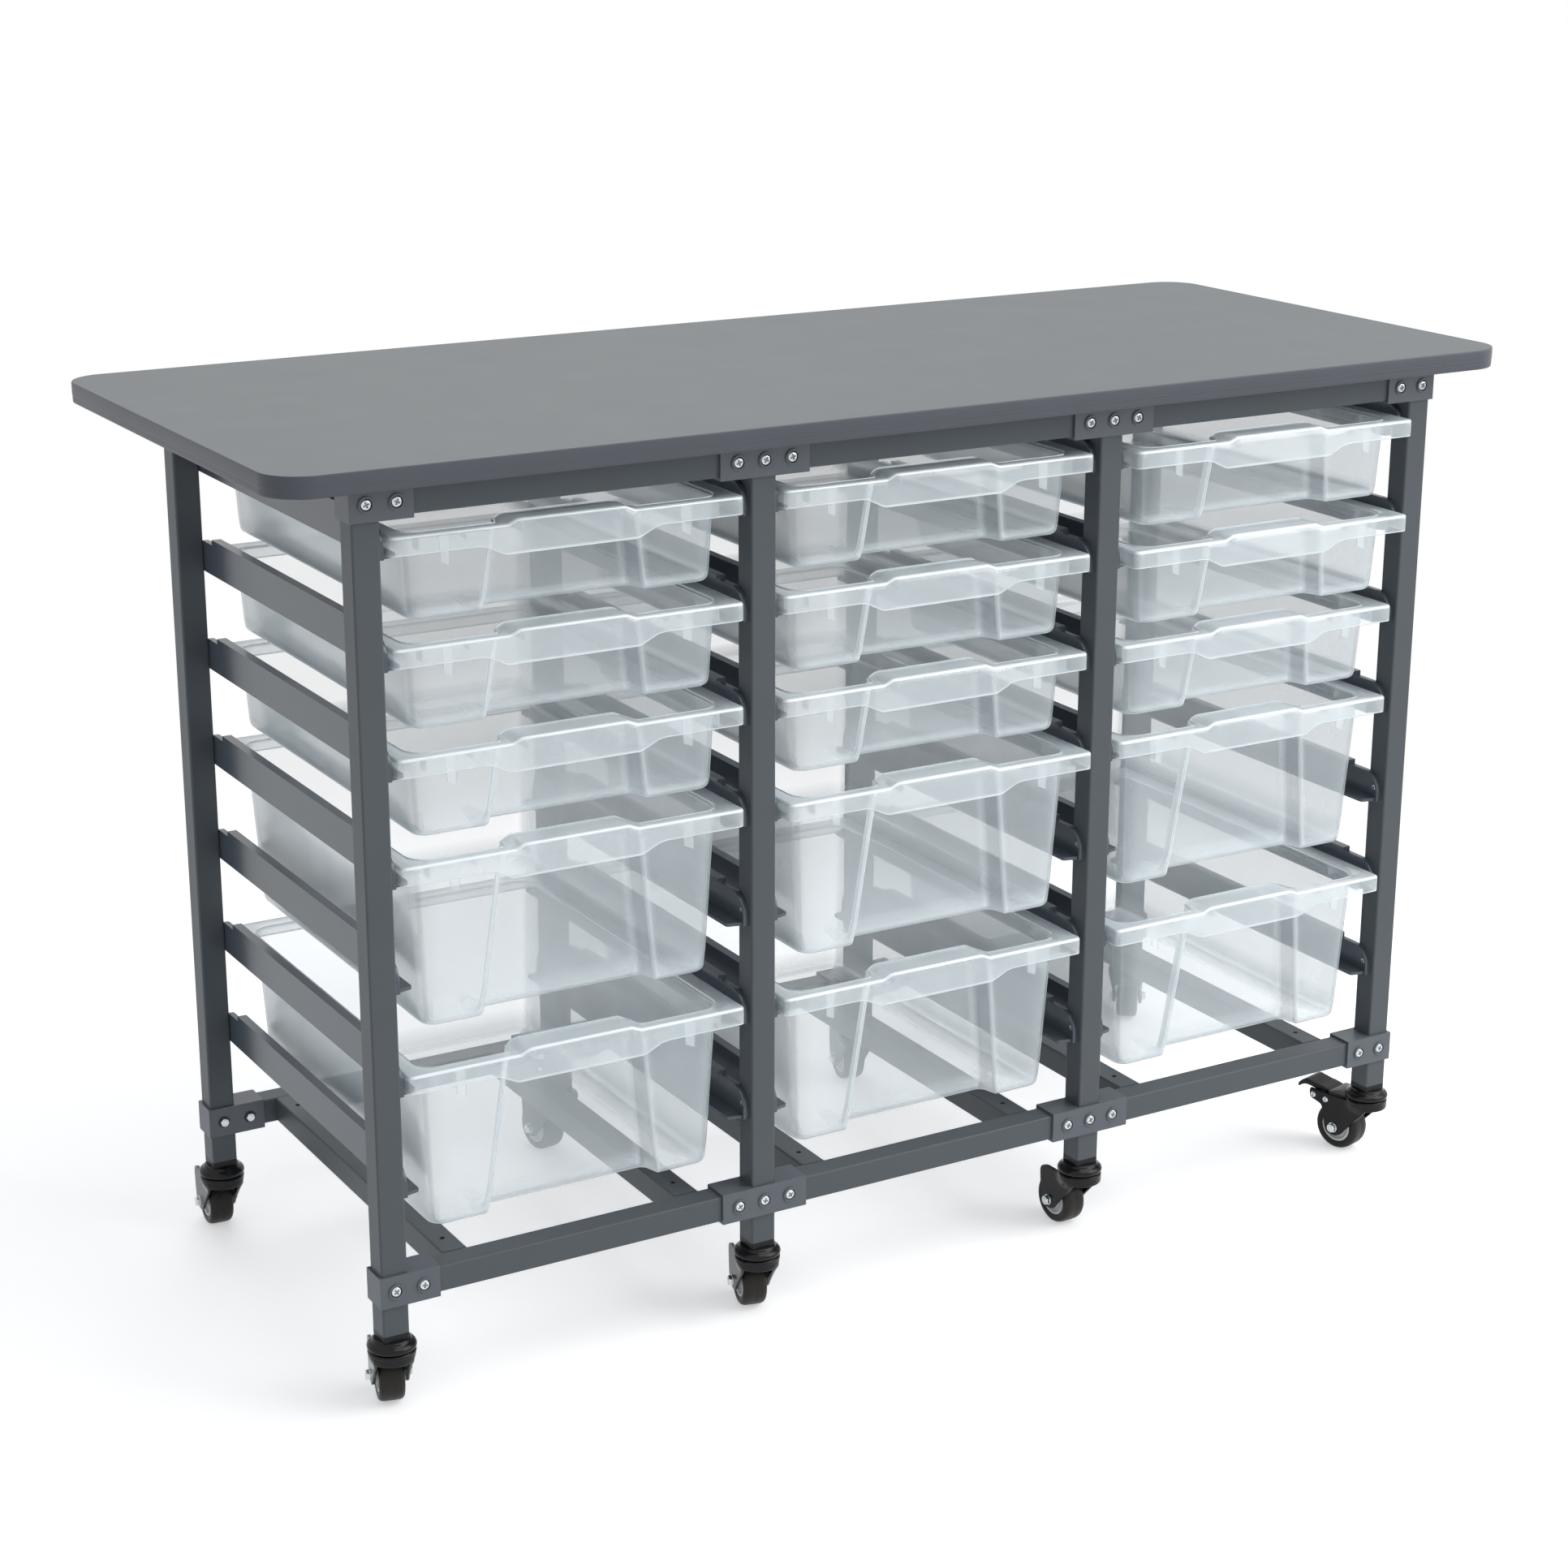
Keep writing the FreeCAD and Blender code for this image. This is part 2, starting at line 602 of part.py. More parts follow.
runner_screws = []
for side, hand in (("left", 1), ("right", -1)):
    master = runner(side + "_runner", hand)
    screw_master = screw(side + "_runner_screw", hand)
    copies = []
    for bay in BAYS:
        line = POST_LINES[bay if hand == 1 else bay + 1]
        face = line + (" + tube_side / 2" if hand == 1 else " - tube_side / 2")
        for level in LEVELS:
            up = level_place(level) + " - runner_wall"
            copies.append(copy(side + "_runner_copy", master, (face, "front_face + runner_gap", up)))
            for along in ("front_line", "rear_line"):
                at = (face, along, up + " + runner_screw_up")
                runner_screws.append(copy("runner_screw_copy", screw_master, at))
    group(side + "_runners", copies)
group("runner_screws", runner_screws)

# Worktop, its edge band and its screws

board_body = new_body("worktop_board")
board_outline = rectangle("worktop_wide / 2 - band_thick", "worktop_deep / 2 - band_thick",
                          "worktop_corner - band_thick")
solid(board_body, "Pad", new_sketch(board_body, "XY_Plane", [board_outline], "board_base"),
      "worktop_thick")
band = new_body("worktop_edge_band")
band_outline = rectangle("worktop_wide / 2", "worktop_deep / 2", "worktop_corner")
solid(band, "Pad", new_sketch(band, "XY_Plane", [band_outline, board_outline], "board_base"),
      "worktop_thick")
top_screw_base = "high_rail - tube_side / 2"
top_screw = fused("worktop_screw", [
    rod("worktop_screw_shank", ("0", "0", "-top_screw_head_high / 2"), "top_screw_shank",
        "top_screw_head_high / 2 + tube_side + sleeve_wall + top_screw_bite"),
    rod("worktop_screw_head", ("0", "0", "-top_screw_head_high"), "top_screw_head",
        "top_screw_head_high"),
])
screws = []
pilots = []
for across in CROSS_PLACES:
    for sign in ("-", "+"):
        at = (across, "frame_middle " + sign + " cross_hole_place", top_screw_base)
        screws.append(copy("worktop_screw_copy", top_screw, at))
        pilots.append(rod("pilot", at, "top_screw_shank + screw_gap",
                          "tube_side + sleeve_wall + top_screw_bite + 1"))
group("worktop_screws", screws)
cut("worktop", board_body, pilots)

# Leg inserts and caster stems

insert = new_body("leg_insert")
side = "tube_side / 2"
bore = "stem_radius + stem_gap"
solid(insert, "Pad", new_sketch(insert, "XY_Plane",
                                [rectangle(side, side, "tube_corner")], "collar_base"),
      "insert_collar")
plug = "tube_side / 2 - tube_wall - insert_gap"
solid(insert, "Pad", new_sketch(insert, "XY_Plane", [rectangle(plug, plug, "0.7")],
                                "post_base"), "insert_plug")
insert_bored = cut("leg_insert_bored", insert,
                   [rod("insert_bore", ("0", "0", "collar_base - 1"), bore,
                        "insert_collar + insert_plug + 2")])

stem = new_body("caster_stem")
axis = "0 * stem_radius"
head_base = "crown_base - pivot_gap - king_head_high"
stem_line = [
    (axis, head_base, "0"), ("king_head", head_base, "0"),
    ("king_head", head_base + " + king_head_high", "0"),
    ("king_radius", head_base + " + king_head_high", "0"),
    ("king_radius", "cap_foot", "0"), ("cap_base", "cap_foot", "0"),
    ("cap_radius", "cap_foot + cap_shoulder", "2"),
    ("cap_top", "collar_base", "0"), ("stem_radius", "collar_base", "0"),
    ("stem_radius", "collar_base + stem_long", "0"),
    (axis, "collar_base + stem_long", "0"),
]
turned(stem, new_sketch(stem, "XZ_Plane", [stem_line]))

CASTERS = {}
for index, across in POST_LINES.items():
    CASTERS["front_caster_%d" % index] = (across, "front_line", "trail_front_%d" % index)
    CASTERS["rear_caster_%d" % index] = (across, "rear_line", "trail_rear_%d" % index)
for name, master in (("leg_inserts", insert_bored), ("caster_stems", stem)):
    copies = []
    for across, line, _ in CASTERS.values():
        copies.append(copy(name + "_copy", master, (across, line, "0")))
    group(name, copies)


# Fork, axle, hub and tyre: local +X is the trailing direction, local Z the stem

def fork(name, braked):
    """A fork with its crown, apron and two plates, and ears for the pedal if braked."""
    crown = rod(name + "_crown", ("0", "0", "crown_base"), "crown_radius", "crown_thick")
    apron_ring = cut(name + "_apron_ring",
                     rod(name + "_apron_out", ("0", "0", "apron_low"), "crown_radius",
                         "crown_base - apron_low + crown_thick / 2"),
                     [rod(name + "_apron_in", ("0", "0", "apron_low - 1"),
                          "crown_radius - plate_thick", "crown_top - apron_low")])
    apron = cut(name + "_apron", apron_ring,
                [box(name + "_apron_away", ("-crown_radius / 4", "-crown_radius", "0"),
                     ("2 * crown_radius", "2 * crown_radius", "crown_base"))])
    plates = new_body(name + "_plates")
    top = "crown_base + crown_thick / 2"
    head = [("-crown_radius * 0.62", top, "0"), ("-crown_radius * 0.55", "apron_low - 6", "2"),
            ("trail - axle_boss", "wheel_radius - axle_boss", "axle_boss * 0.7"),
            ("trail + axle_boss", "wheel_radius - axle_boss", "axle_boss * 0.7")]
    if braked:
        tail = [("trail + axle_boss * 1.5", "wheel_radius + axle_boss", "3"),
                ("stop_out", "stop_up - 7", "2"),
                ("stop_out + 5", "stop_up - 4", "2"), ("stop_out + 5", top, "3")]
    else:
        tail = [("trail + axle_boss * 1.7", "wheel_radius + axle_boss", "3"),
                ("trail + axle_boss * 1.7", top, "4")]
    solid(plates, "Pad", new_sketch(plates, "XZ_Plane", [head + tail], "plate_outer"),
          "2 * plate_outer", True)
    gap = box(name + "_gap", ("-3 * trail", "-plate_inner", "0"),
              ("6 * trail", "2 * plate_inner", "post_base"))
    walls = cut(name + "_walls", plates, [gap])
    shell = [crown, apron, walls]
    if braked:
        shell.append(box(name + "_cover", ("crown_radius / 2", "-plate_outer",
                                           "crown_top - plate_thick"),
                         ("brake_pin_out - 3 - crown_radius / 2", "2 * plate_outer",
                          "plate_thick")))
    tools = [rod(name + "_king_hole", ("0", "0", "apron_low"), "king_radius + pivot_gap",
                 "post_base"),
             rod(name + "_axle_hole", ("trail", "2 * plate_outer", "wheel_radius"),
                 "axle_hole", "4 * plate_outer", "Y")]
    if braked:
        tools.append(rod(name + "_brake_hole", ("brake_pin_out", "2 * plate_outer",
                                                "brake_pin_up"),
                         "brake_pin + thread_gap", "4 * plate_outer", "Y"))
        tools.append(rod(name + "_stop_hole", ("stop_out", "2 * plate_outer", "stop_up"),
                         "brake_pin + thread_gap", "4 * plate_outer", "Y"))
    return cut(name, fused(name + "_shell", shell), tools)


head_thick = "axle_reach - plate_outer"
axle_bolt = fused("axle_bolt", [
    rod("axle_rod", ("trail", "axle_reach", "wheel_radius"), "axle_radius",
        "axle_reach + plate_outer + (" + head_thick + ") / 2", "Y"),
    hexagon("axle_head", ("trail", "-plate_outer", "wheel_radius"), "axle_flats", head_thick),
])
axle_nut = cut("axle_nut",
               hexagon("axle_nut_block", ("trail", "axle_reach", "wheel_radius"),
                       "axle_flats", head_thick),
               [rod("axle_nut_hole", ("trail", "2 * axle_reach", "wheel_radius"),
                    "axle_radius + thread_gap", "4 * axle_reach", "Y")])
pivot_rivet = fused("pivot_rivet", [
    rod("pivot_pin", ("brake_pin_out", "plate_outer + brake_head_high / 2", "brake_pin_up"),
        "brake_pin", "2 * plate_outer + brake_head_high", "Y"),
    rod("pivot_head_1", ("brake_pin_out", "plate_outer + brake_head_high", "brake_pin_up"),
        "brake_head", "brake_head_high", "Y"),
    rod("pivot_head_2", ("brake_pin_out", "-plate_outer", "brake_pin_up"), "brake_head",
        "brake_head_high", "Y"),
])
stop_rivets = []
for sign, start, head in (("", "plate_outer + brake_head_high / 2",
                           "plate_outer + brake_head_high"),
                          ("-", "-plate_inner", "-plate_outer")):
    stop_rivets.append(fused("stop_rivet", [
        rod("stop_pin", ("stop_out", start, "stop_up"), "brake_pin",
            "plate_thick + brake_head_high / 2", "Y"),
        rod("stop_head", ("stop_out", head, "stop_up"), "brake_head", "brake_head_high", "Y"),
    ]))

plain_fork = group("plain_fork_set", [fork("plain_fork", False), axle_bolt, axle_nut])
brake_fork = group("brake_fork_set", [fork("brake_fork", True), axle_bolt, axle_nut,
                                      pivot_rivet] + stop_rivets)

pedal = new_body("pedal")
pedal_line = [
    ("brake_pin_out - 2.2", "crown_top - 2", "0"), ("brake_pin_out + 3", "crown_top", "2"),
    ("brake_pin_out + 22", "crown_top + 3", "4"), ("brake_pin_out + 28.5", "crown_top + 4.5", "4"),
    ("pedal_tip", "crown_top - 5", "1"), ("pedal_tip - 1.5", "crown_top - 8", "1"),
    ("brake_pin_out + 27", "crown_top - 1.5", "4"), ("brake_pin_out + 5", "crown_top - 4", "2"),
    ("brake_pin_out + 5", "brake_pin_up - 3", "2"), ("brake_pin_out - 4.5", "brake_pin_up - 3", "2"),
    ("brake_pin_out - 4.5", "brake_pin_up + 3", "1"),
]
solid(pedal, "Pad", new_sketch(pedal, "XZ_Plane", [pedal_line], "pedal_half"),
      "2 * pedal_half", True)
pedal_lug_gap = box("pedal_lug_gap", ("brake_pin_out - 20", "pedal_lug - pedal_half", "0"),
                    ("40", "2 * (pedal_half - pedal_lug)", "brake_pin_up + 3.2"))
pedal_made = cut("pedal_made", pedal, [
    pedal_lug_gap,
    rod("pedal_hole", ("brake_pin_out", "2 * plate_outer", "brake_pin_up"), "brake_hole",
        "4 * plate_outer", "Y"),
])


def wheel_part(name, line):
    """A turned part about the wheel's axis, from corners (radius, place along the axis)."""
    body = new_body(name)
    turned(body, new_sketch(body, "XY_Plane", [line]))
    lying = copy(name + "_lying", body, ("0", "0", "0"))
    return lying


tyre_in = "hub_radius + hub_gap"
tyre = wheel_part("tyre", [
    (tyre_in, "-hub_half", "0"), ("wheel_radius", "-tyre_half", "tyre_round"),
    ("wheel_radius", "tyre_half", "tyre_round"), (tyre_in, "hub_half", "0"),
])
hub_bore = "axle_hole"
web = "hub_radius - hub_rim"
hub = wheel_part("hub", [
    (hub_bore, "-hub_boss_half", "0"), ("hub_boss", "-hub_boss_half", "1"),
    ("hub_boss", "-hub_web", "0"), (web, "-hub_web", "0"), (web, "-hub_half", "0"),
    ("hub_radius", "-hub_half", "0"), ("hub_radius", "hub_half", "0"), (web, "hub_half", "0"),
    (web, "hub_web", "0"), ("hub_boss", "hub_web", "0"), ("hub_boss", "hub_boss_half", "1"),
    (hub_bore, "hub_boss_half", "0"),
])
BRAKED = ("front_caster_4", "rear_caster_4")
for name, (across, line, angle) in CASTERS.items():
    base = (across, line, "0 * trail")
    copy(name + "_fork", brake_fork if name in BRAKED else plain_fork, base, angle)
    wheel = (across + " + trail * cos(" + angle + ")", line + " + trail * sin(" + angle + ")",
             "wheel_radius")
    copy(name + "_tyre", tyre, wheel, angle)
    copy(name + "_hub", hub, wheel, angle)
    if name in BRAKED:
        copy(name + "_brake_pedal", pedal_made, base, angle)


# Bins: local origin at the middle of the rim's front face, on the skirt's lower edge

def bin_loop(half, front, rear, corner, recess, inset):
    """Section of a bin body with the hand recess in its front."""
    panel = "(" + front + ") + recess_sink"
    wide = "(" + recess + ") + " + inset
    narrow = "(" + recess + ") - recess_slant + " + inset
    rounded = "recess_corner"
    half = "(" + half + ")"
    return [
        ("-" + half, front, corner), ("-(" + wide + ")", front, rounded),
        ("-(" + narrow + ")", panel, rounded), (narrow, panel, rounded),
        (wide, front, rounded), (half, front, corner), (half, rear, corner),
        ("-" + half, rear, corner),
    ]


def bin_section(body, lift, taper, corner, recess, inset):
    """A sketch of that section at a height, drawn in by the taper and the wall."""
    half = "bin_wide / 2 - " + taper + " - " + inset
    front = "bin_front + " + taper + " + " + inset
    rear = "rim_deep - bin_rear - " + taper + " - " + inset
    loop = bin_loop(half, front, rear, corner + " - " + inset, recess, inset)
    return new_sketch(body, "XY_Plane", [loop], lift)


def bin_master(name, deep, taper, recess):
    """A whole bin: body, base, rim, skirt, grip, crest and tabs."""
    body = new_body(name)
    base = "skirt_high - " + deep
    none = "0 * bin_wall"
    top_out = bin_section(body, "skirt_high", none, "bin_corner", "recess_top", none)
    low_out = bin_section(body, base, taper, "bin_base_corner", recess, none)
    loft(body, "AdditiveLoft", top_out, low_out)
    rim_out = [("-rim_half", none, "rim_corner"), ("rim_half", none, "rim_corner"),
               ("rim_half", "rim_deep", "rim_corner"), ("-rim_half", "rim_deep", "rim_corner")]
    solid(body, "Pad", new_sketch(body, "XY_Plane", [rim_out], "skirt_high - bin_wall"),
          "bin_wall")
    top_in = bin_section(body, "skirt_high", none, "bin_corner", "recess_top", "bin_wall")
    low_in = bin_section(body, base + " + bin_wall", taper, "bin_base_corner", recess,
                         "bin_wall")
    loft(body, "SubtractiveLoft", top_in, low_in)
    rim = "rim_half - bin_wall"
    rear = "rim_deep - bin_wall"
    inner = "rim_corner - bin_wall"
    rim_in = [("-(" + rim + ")", "bin_wall", inner), (rim, "bin_wall", inner),
              (rim, rear, inner), ("-(" + rim + ")", rear, inner)]
    solid(body, "Pad", new_sketch(body, "XY_Plane", [rim_out, rim_in]), "skirt_high")
    grip = [("-grip_half - grip_slope", none, "6"), ("-grip_half", "-grip_drop", "6"),
            ("grip_half", "-grip_drop", "6"), ("grip_half + grip_slope", none, "6"),
            ("grip_half + grip_slope", "skirt_high / 2", "0"),
            ("-grip_half - grip_slope", "skirt_high / 2", "0")]
    solid(body, "Pad", new_sketch(body, "XZ_Plane", [grip]), "bin_wall", True)
    crest = [("-crest_half - crest_slope", "skirt_high - bin_wall", "0"),
             ("crest_half + crest_slope", "skirt_high - bin_wall", "0"),
             ("crest_half + crest_slope", "skirt_high", "0"),
             ("crest_half", "skirt_high + crest_rise", "6"),
             ("-crest_half", "skirt_high + crest_rise", "6"),
             ("-crest_half - crest_slope", "skirt_high", "0")]
    solid(body, "Pad", new_sketch(body, "XZ_Plane", [crest]), "bin_wall", True)
    for sign in ("-", ""):
        near = sign + "(tab_place - tab_wide / 2)"
        far = sign + "(tab_place + tab_wide / 2)"
        tab = [(near, "skirt_high / 2", "0"), (near, "-tab_drop", "1.5"),
               (far, "-tab_drop * 0.7", "1.5"), (far, "skirt_high / 2", "0")]
        solid(body, "Pad", new_sketch(body, "XZ_Plane", [tab]), "bin_wall", True)
    return body


shallow = bin_master("shallow_bin", "shallow_deep", "shallow_taper", "shallow_recess")
deep = bin_master("deep_bin", "deep_deep", "deep_taper", "deep_recess")
BIN_LEVELS = {1: shallow, 2: shallow, 3: shallow, 4: deep, 6: deep}
OPEN = {(2, 4): "open_2_4", (2, 6): "open_2_6", (3, 1): "open_3_1", (3, 2): "open_3_2",
        (3, 6): "open_3_6"}
for bay, across in BAYS.items():
    for level, master in BIN_LEVELS.items():
        name = "bay%d_level%d_bin" % (bay, level)
        front = "front_face - rim_front - " + OPEN.get((bay, level), "0 * rim_front")
        copy(name, master, (across, front, level_place(level) + " + slide_gap"))

doc.recompute()

# Every node of the part, checked and written

NODES = [
    "worktop", "worktop_edge_band", "worktop_screws", "front_posts", "rear_posts",
    "bottom_rails", "top_rails", "bottom_cross_rails", "top_cross_rails",
    "corner_connectors", "middle_connectors", "connector_screws", "connector_nuts",
    "left_runners", "right_runners", "runner_screws", "leg_inserts", "caster_stems",
]
for name in CASTERS:
    NODES += [name + "_fork", name + "_tyre", name + "_hub"]
NODES += [name + "_brake_pedal" for name in BRAKED]
NODES += ["bay%d_level%d_bin" % (bay, level) for bay in BAYS for level in BIN_LEVELS]

for item in doc.Objects:
    if "Invalid" in item.State or "Error" in item.State:
        raise RuntimeError(item.Name + " could not be computed")

shapes = {}
for name in NODES:
    item = doc.getObject(name)
    shape = Part.getShape(item)
    if shape.isNull() or not shape.isValid() or not shape.Solids:
        raise RuntimeError(name + " is not a valid solid")
    item.Label = name
    shapes[name] = shape

os.makedirs("parts", exist_ok=True)
for name, shape in shapes.items():
    shape.exportStep(os.path.join("parts", name + ".step"))
    print(name, len(shape.Solids), "solids", round(shape.Volume), "mm3")
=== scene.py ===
# %% [markdown]
# # A mobile storage cart
# The cart is a frame of square tube on eight swivel casters, with a flat worktop and
# three bays of translucent bins that slide on moulded runners. The solid CAD model is
# loaded first and is never moved. Everything below dresses it: some solids keep their
# shape and get a finish, others are replaced by surfaces worked out with numpy.

# %% The imported model
import math

import bmesh
import bpy
import numpy as np
from mathutils import Matrix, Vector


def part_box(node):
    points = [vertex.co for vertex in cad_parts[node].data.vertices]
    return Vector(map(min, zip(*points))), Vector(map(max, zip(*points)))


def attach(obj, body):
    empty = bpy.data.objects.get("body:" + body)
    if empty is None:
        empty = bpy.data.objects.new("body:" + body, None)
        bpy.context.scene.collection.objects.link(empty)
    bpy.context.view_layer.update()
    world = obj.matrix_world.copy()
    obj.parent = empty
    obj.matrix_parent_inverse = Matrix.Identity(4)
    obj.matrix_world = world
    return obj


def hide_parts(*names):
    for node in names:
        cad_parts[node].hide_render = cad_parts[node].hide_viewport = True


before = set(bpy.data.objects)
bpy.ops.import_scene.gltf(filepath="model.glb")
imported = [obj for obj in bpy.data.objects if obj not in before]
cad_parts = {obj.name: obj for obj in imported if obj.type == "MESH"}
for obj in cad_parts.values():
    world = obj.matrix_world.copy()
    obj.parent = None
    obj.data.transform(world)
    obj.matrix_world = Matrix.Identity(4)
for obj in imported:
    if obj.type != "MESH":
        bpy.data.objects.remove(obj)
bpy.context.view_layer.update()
MM = 0.001
MERGE = 2e-6  # points closer than this many metres are one

# %% [markdown]
# ## Patches
# Every new piece is made of patches. A patch is a grid of points: rows go along the
# piece and columns go round it. Modelling by hand in edit mode would give the same
# shapes, but a grid from a formula is exact and can be changed by one number.

# %% From patches to a mesh


def patch_faces(rows, cols, start):
    """Four-sided faces of a grid whose columns close on themselves: each face joins a
    point, its neighbour in the row and the two points of the next row."""
    row = np.arange(rows - 1)[:, None]
    col = np.arange(cols)[None, :]
    following = (col + 1) % cols
    corners = [row * cols + col, row * cols + following,
               (row + 1) * cols + following, (row + 1) * cols + col]
    return start + np.stack(corners, axis=-1).reshape(-1, 4)


def new_object(name, data):
    """A new object in the scene that shows its data."""
    thing = bpy.data.objects.new(name, data)
    bpy.context.scene.collection.objects.link(thing)
    return thing


def mesh_piece(name, patches, body, material, hides=(), smooth=35.0, cover=None):
    """One mesh piece from closed patches in millimetres, merged at its poles, facing
    outwards and shaded smooth below an angle. Cover is a value for each point, which the
    finish reads."""
    points = np.concatenate([patch.reshape(-1, 3) for patch in patches]) * MM
    starts = np.cumsum([0] + [patch.shape[0] * patch.shape[1] for patch in patches[:-1]])
    faces = np.concatenate([patch_faces(patch.shape[0], patch.shape[1], start)
                            for patch, start in zip(patches, starts)])
    mesh = bpy.data.meshes.new(name)
    mesh.from_pydata(points, [], faces.tolist())
    if cover is not None:
        mesh.attributes.new("cover", "FLOAT", "POINT").data.foreach_set("value", cover)
    shape = bmesh.new()
    shape.from_mesh(mesh)
    bmesh.ops.remove_doubles(shape, verts=shape.verts, dist=MERGE)
    bmesh.ops.dissolve_degenerate(shape, edges=shape.edges, dist=1e-7)
    bmesh.ops.recalc_face_normals(shape, faces=shape.faces)
    shape.to_mesh(mesh)
    shape.free()
    mesh.shade_smooth()
    mesh.set_sharp_from_angle(angle=math.radians(smooth))
    piece = new_object(name, mesh)
    mesh.materials.append(material)
    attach(piece, body)
    for node in hides:
        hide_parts(node)
    return piece


def capped(loops):
    """A patch from closed loops in space, drawn to their middle at both ends so that it
    closes."""
    first = np.broadcast_to(loops[0].mean(axis=0), loops[0].shape)
    last = np.broadcast_to(loops[-1].mean(axis=0), loops[-1].shape)
    return np.stack([first] + list(loops) + [last])


def stacked(loops):
    """A closed patch from level loops of equal length, each (points, height)."""
    return capped([np.column_stack([points, np.broadcast_to(height, len(points))])
                   for points, height in loops])


# %% [markdown]
# ## Rounded outlines
# Nearly every section of the cart is a polygon with rounded corners: the tube, the
# connector, the bin. Each corner is an arc that touches both of its sides. Drawing the
# corners as a formula keeps the same number of points whatever the radius, so that two
# different outlines can be joined point to point.

# %% Outlines


def rectangle(left, right, low, high):
    """Corners of a rectangle, counter-clockwise from its lower left."""
    return [(left, low), (right, low), (right, high), (left, high)]


def inset(corners, distance):
    """Corners moved inwards so that every side shifts by the distance. A corner moves
    along the sum of its two side normals, divided by one plus their dot product."""
    corners = np.asarray(corners, float)
    side = np.roll(corners, -1, axis=0) - corners
    side /= np.linalg.norm(side, axis=1, keepdims=True)
    normal = np.column_stack([-side[:, 1], side[:, 0]])
    before = np.roll(normal, 1, axis=0)
    share = 1.0 + (normal * before).sum(axis=1, keepdims=True)
    return corners + distance * (normal + before) / share


def rounded_loop(corners, radii, arc=5, spans=None):
    """Points round a polygon with rounded corners. An arc starts radius * tan(half the
    turn) before its corner, and its centre lies square to the side."""
    corners = np.asarray(corners, float)
    radii = np.broadcast_to(np.asarray(radii, float), len(corners))
    arriving = corners - np.roll(corners, 1, axis=0)
    leaving = np.roll(corners, -1, axis=0) - corners
    arriving /= np.linalg.norm(arriving, axis=1, keepdims=True)
    leaving /= np.linalg.norm(leaving, axis=1, keepdims=True)
    cross = arriving[:, 0] * leaving[:, 1] - arriving[:, 1] * leaving[:, 0]
    turn = np.arctan2(cross, (arriving * leaving).sum(axis=1))
    back = radii * np.tan(np.abs(turn) / 2)
    start = corners - arriving * back[:, None]
    left = np.column_stack([-arriving[:, 1], arriving[:, 0]]) * np.sign(turn)[:, None]
    centre = start + left * radii[:, None]
    angle = turn[:, None] * np.linspace(0, 1, arc)[None, :]
    arm = (start - centre)[:, None, :]
    arcs = np.stack([arm[..., 0] * np.cos(angle) - arm[..., 1] * np.sin(angle),
                     arm[..., 0] * np.sin(angle) + arm[..., 1] * np.cos(angle)], -1)
    arcs += centre[:, None, :]
    spans = spans or [0] * len(corners)
    pieces = []
    for index, count in enumerate(spans):
        share = np.linspace(0, 1, count + 2)[1:-1, None]
        end = arcs[(index + 1) % len(corners), 0]
        pieces += [arcs[index], arcs[index, -1] + (end - arcs[index, -1]) * share]
    return np.concatenate(pieces)


def quarter(steps):
    """Inset and rise of a quarter round, as shares of its radius."""
    angle = np.linspace(0, math.pi / 2, steps + 1)
    return list(zip(1 - np.sin(angle), 1 - np.cos(angle)))


def slab(corners, radii, low, high, edge, arc=4, steps=2):
    """A plate with a rounded outline and rounded edges, upright from low to high."""
    radii = np.broadcast_to(np.asarray(radii, float), len(corners))
    loops = []
    for share, rise in quarter(steps):
        inward = edge * share
        loop = rounded_loop(inset(corners, inward), np.maximum(radii - inward, 0), arc)
        loops.append((loop, low + edge * rise))
    upper = [(loop, low + high - height) for loop, height in reversed(loops)]
    return stacked(loops + upper)


def polar(radius, angle, height):
    """A level loop from a radius for each angle."""
    radius = np.broadcast_to(radius, len(angle))
    return np.column_stack([radius * np.cos(angle), radius * np.sin(angle),
                            np.full(len(angle), height)])


def turned(profile, sides):
    """A surface of revolution about the z axis from (radius, height) pairs, closed at
    both ends on the axis."""
    angle = np.linspace(0, 2 * math.pi, sides, endpoint=False)
    return capped([polar(radius, angle, height) for radius, height in profile])


def ring(profile, sides):
    """A closed ring turned about the z axis: its profile returns to its first point."""
    grid = turned(profile, sides)[1:-1]
    return np.concatenate([grid, grid[:1]])


def laid(patch, to_x, to_y, to_z, at):
    """The patch with its own axes laid along three directions and its origin at a point."""
    return patch @ np.array([to_x, to_y, to_z], float) + np.array(at, float)


print("outlines, slabs and turned parts ready")

# %% [markdown]
# ## Finishes
# Each finish is a small node tree on the Principled shader. Real paint and mouldings are
# never one flat colour: the tone drifts a little over a hand's width and the surface has
# a fine grain. Noise in object coordinates gives both at their real scale, and because
# every piece keeps its object at the origin, the grain is the same size on all of them.

# %% Steps that finishes share


def new_finish(name):
    """A new material with its node tree and its Principled shader."""
    material = bpy.data.materials.new(name)
    material.use_nodes = True
    tree = material.node_tree
    return material, tree, tree.nodes["Principled BSDF"]


def feed(tree, node, inputs):
    """Fill a node's inputs: another node's output is linked, all else is a value."""
    for name, value in inputs.items():
        if isinstance(value, bpy.types.NodeSocket):
            tree.links.new(value, node.inputs[name])
        else:
            node.inputs[name].default_value = value


def add_node(tree, kind, inputs, **settings):
    """A new node with its settings and inputs, given back by its outputs."""
    node = tree.nodes.new("ShaderNode" + kind)
    for name, value in settings.items():
        setattr(node, name, value)
    feed(tree, node, inputs)
    return node.outputs


def noise(tree, scale, detail):
    """The value of a noise over the object's own coordinates, scale in cells a metre."""
    place = add_node(tree, "TexCoord", {})["Object"]
    cloud = add_node(tree, "TexNoise", {"Vector": place, "Scale": scale, "Detail": detail})
    return cloud["Fac"]


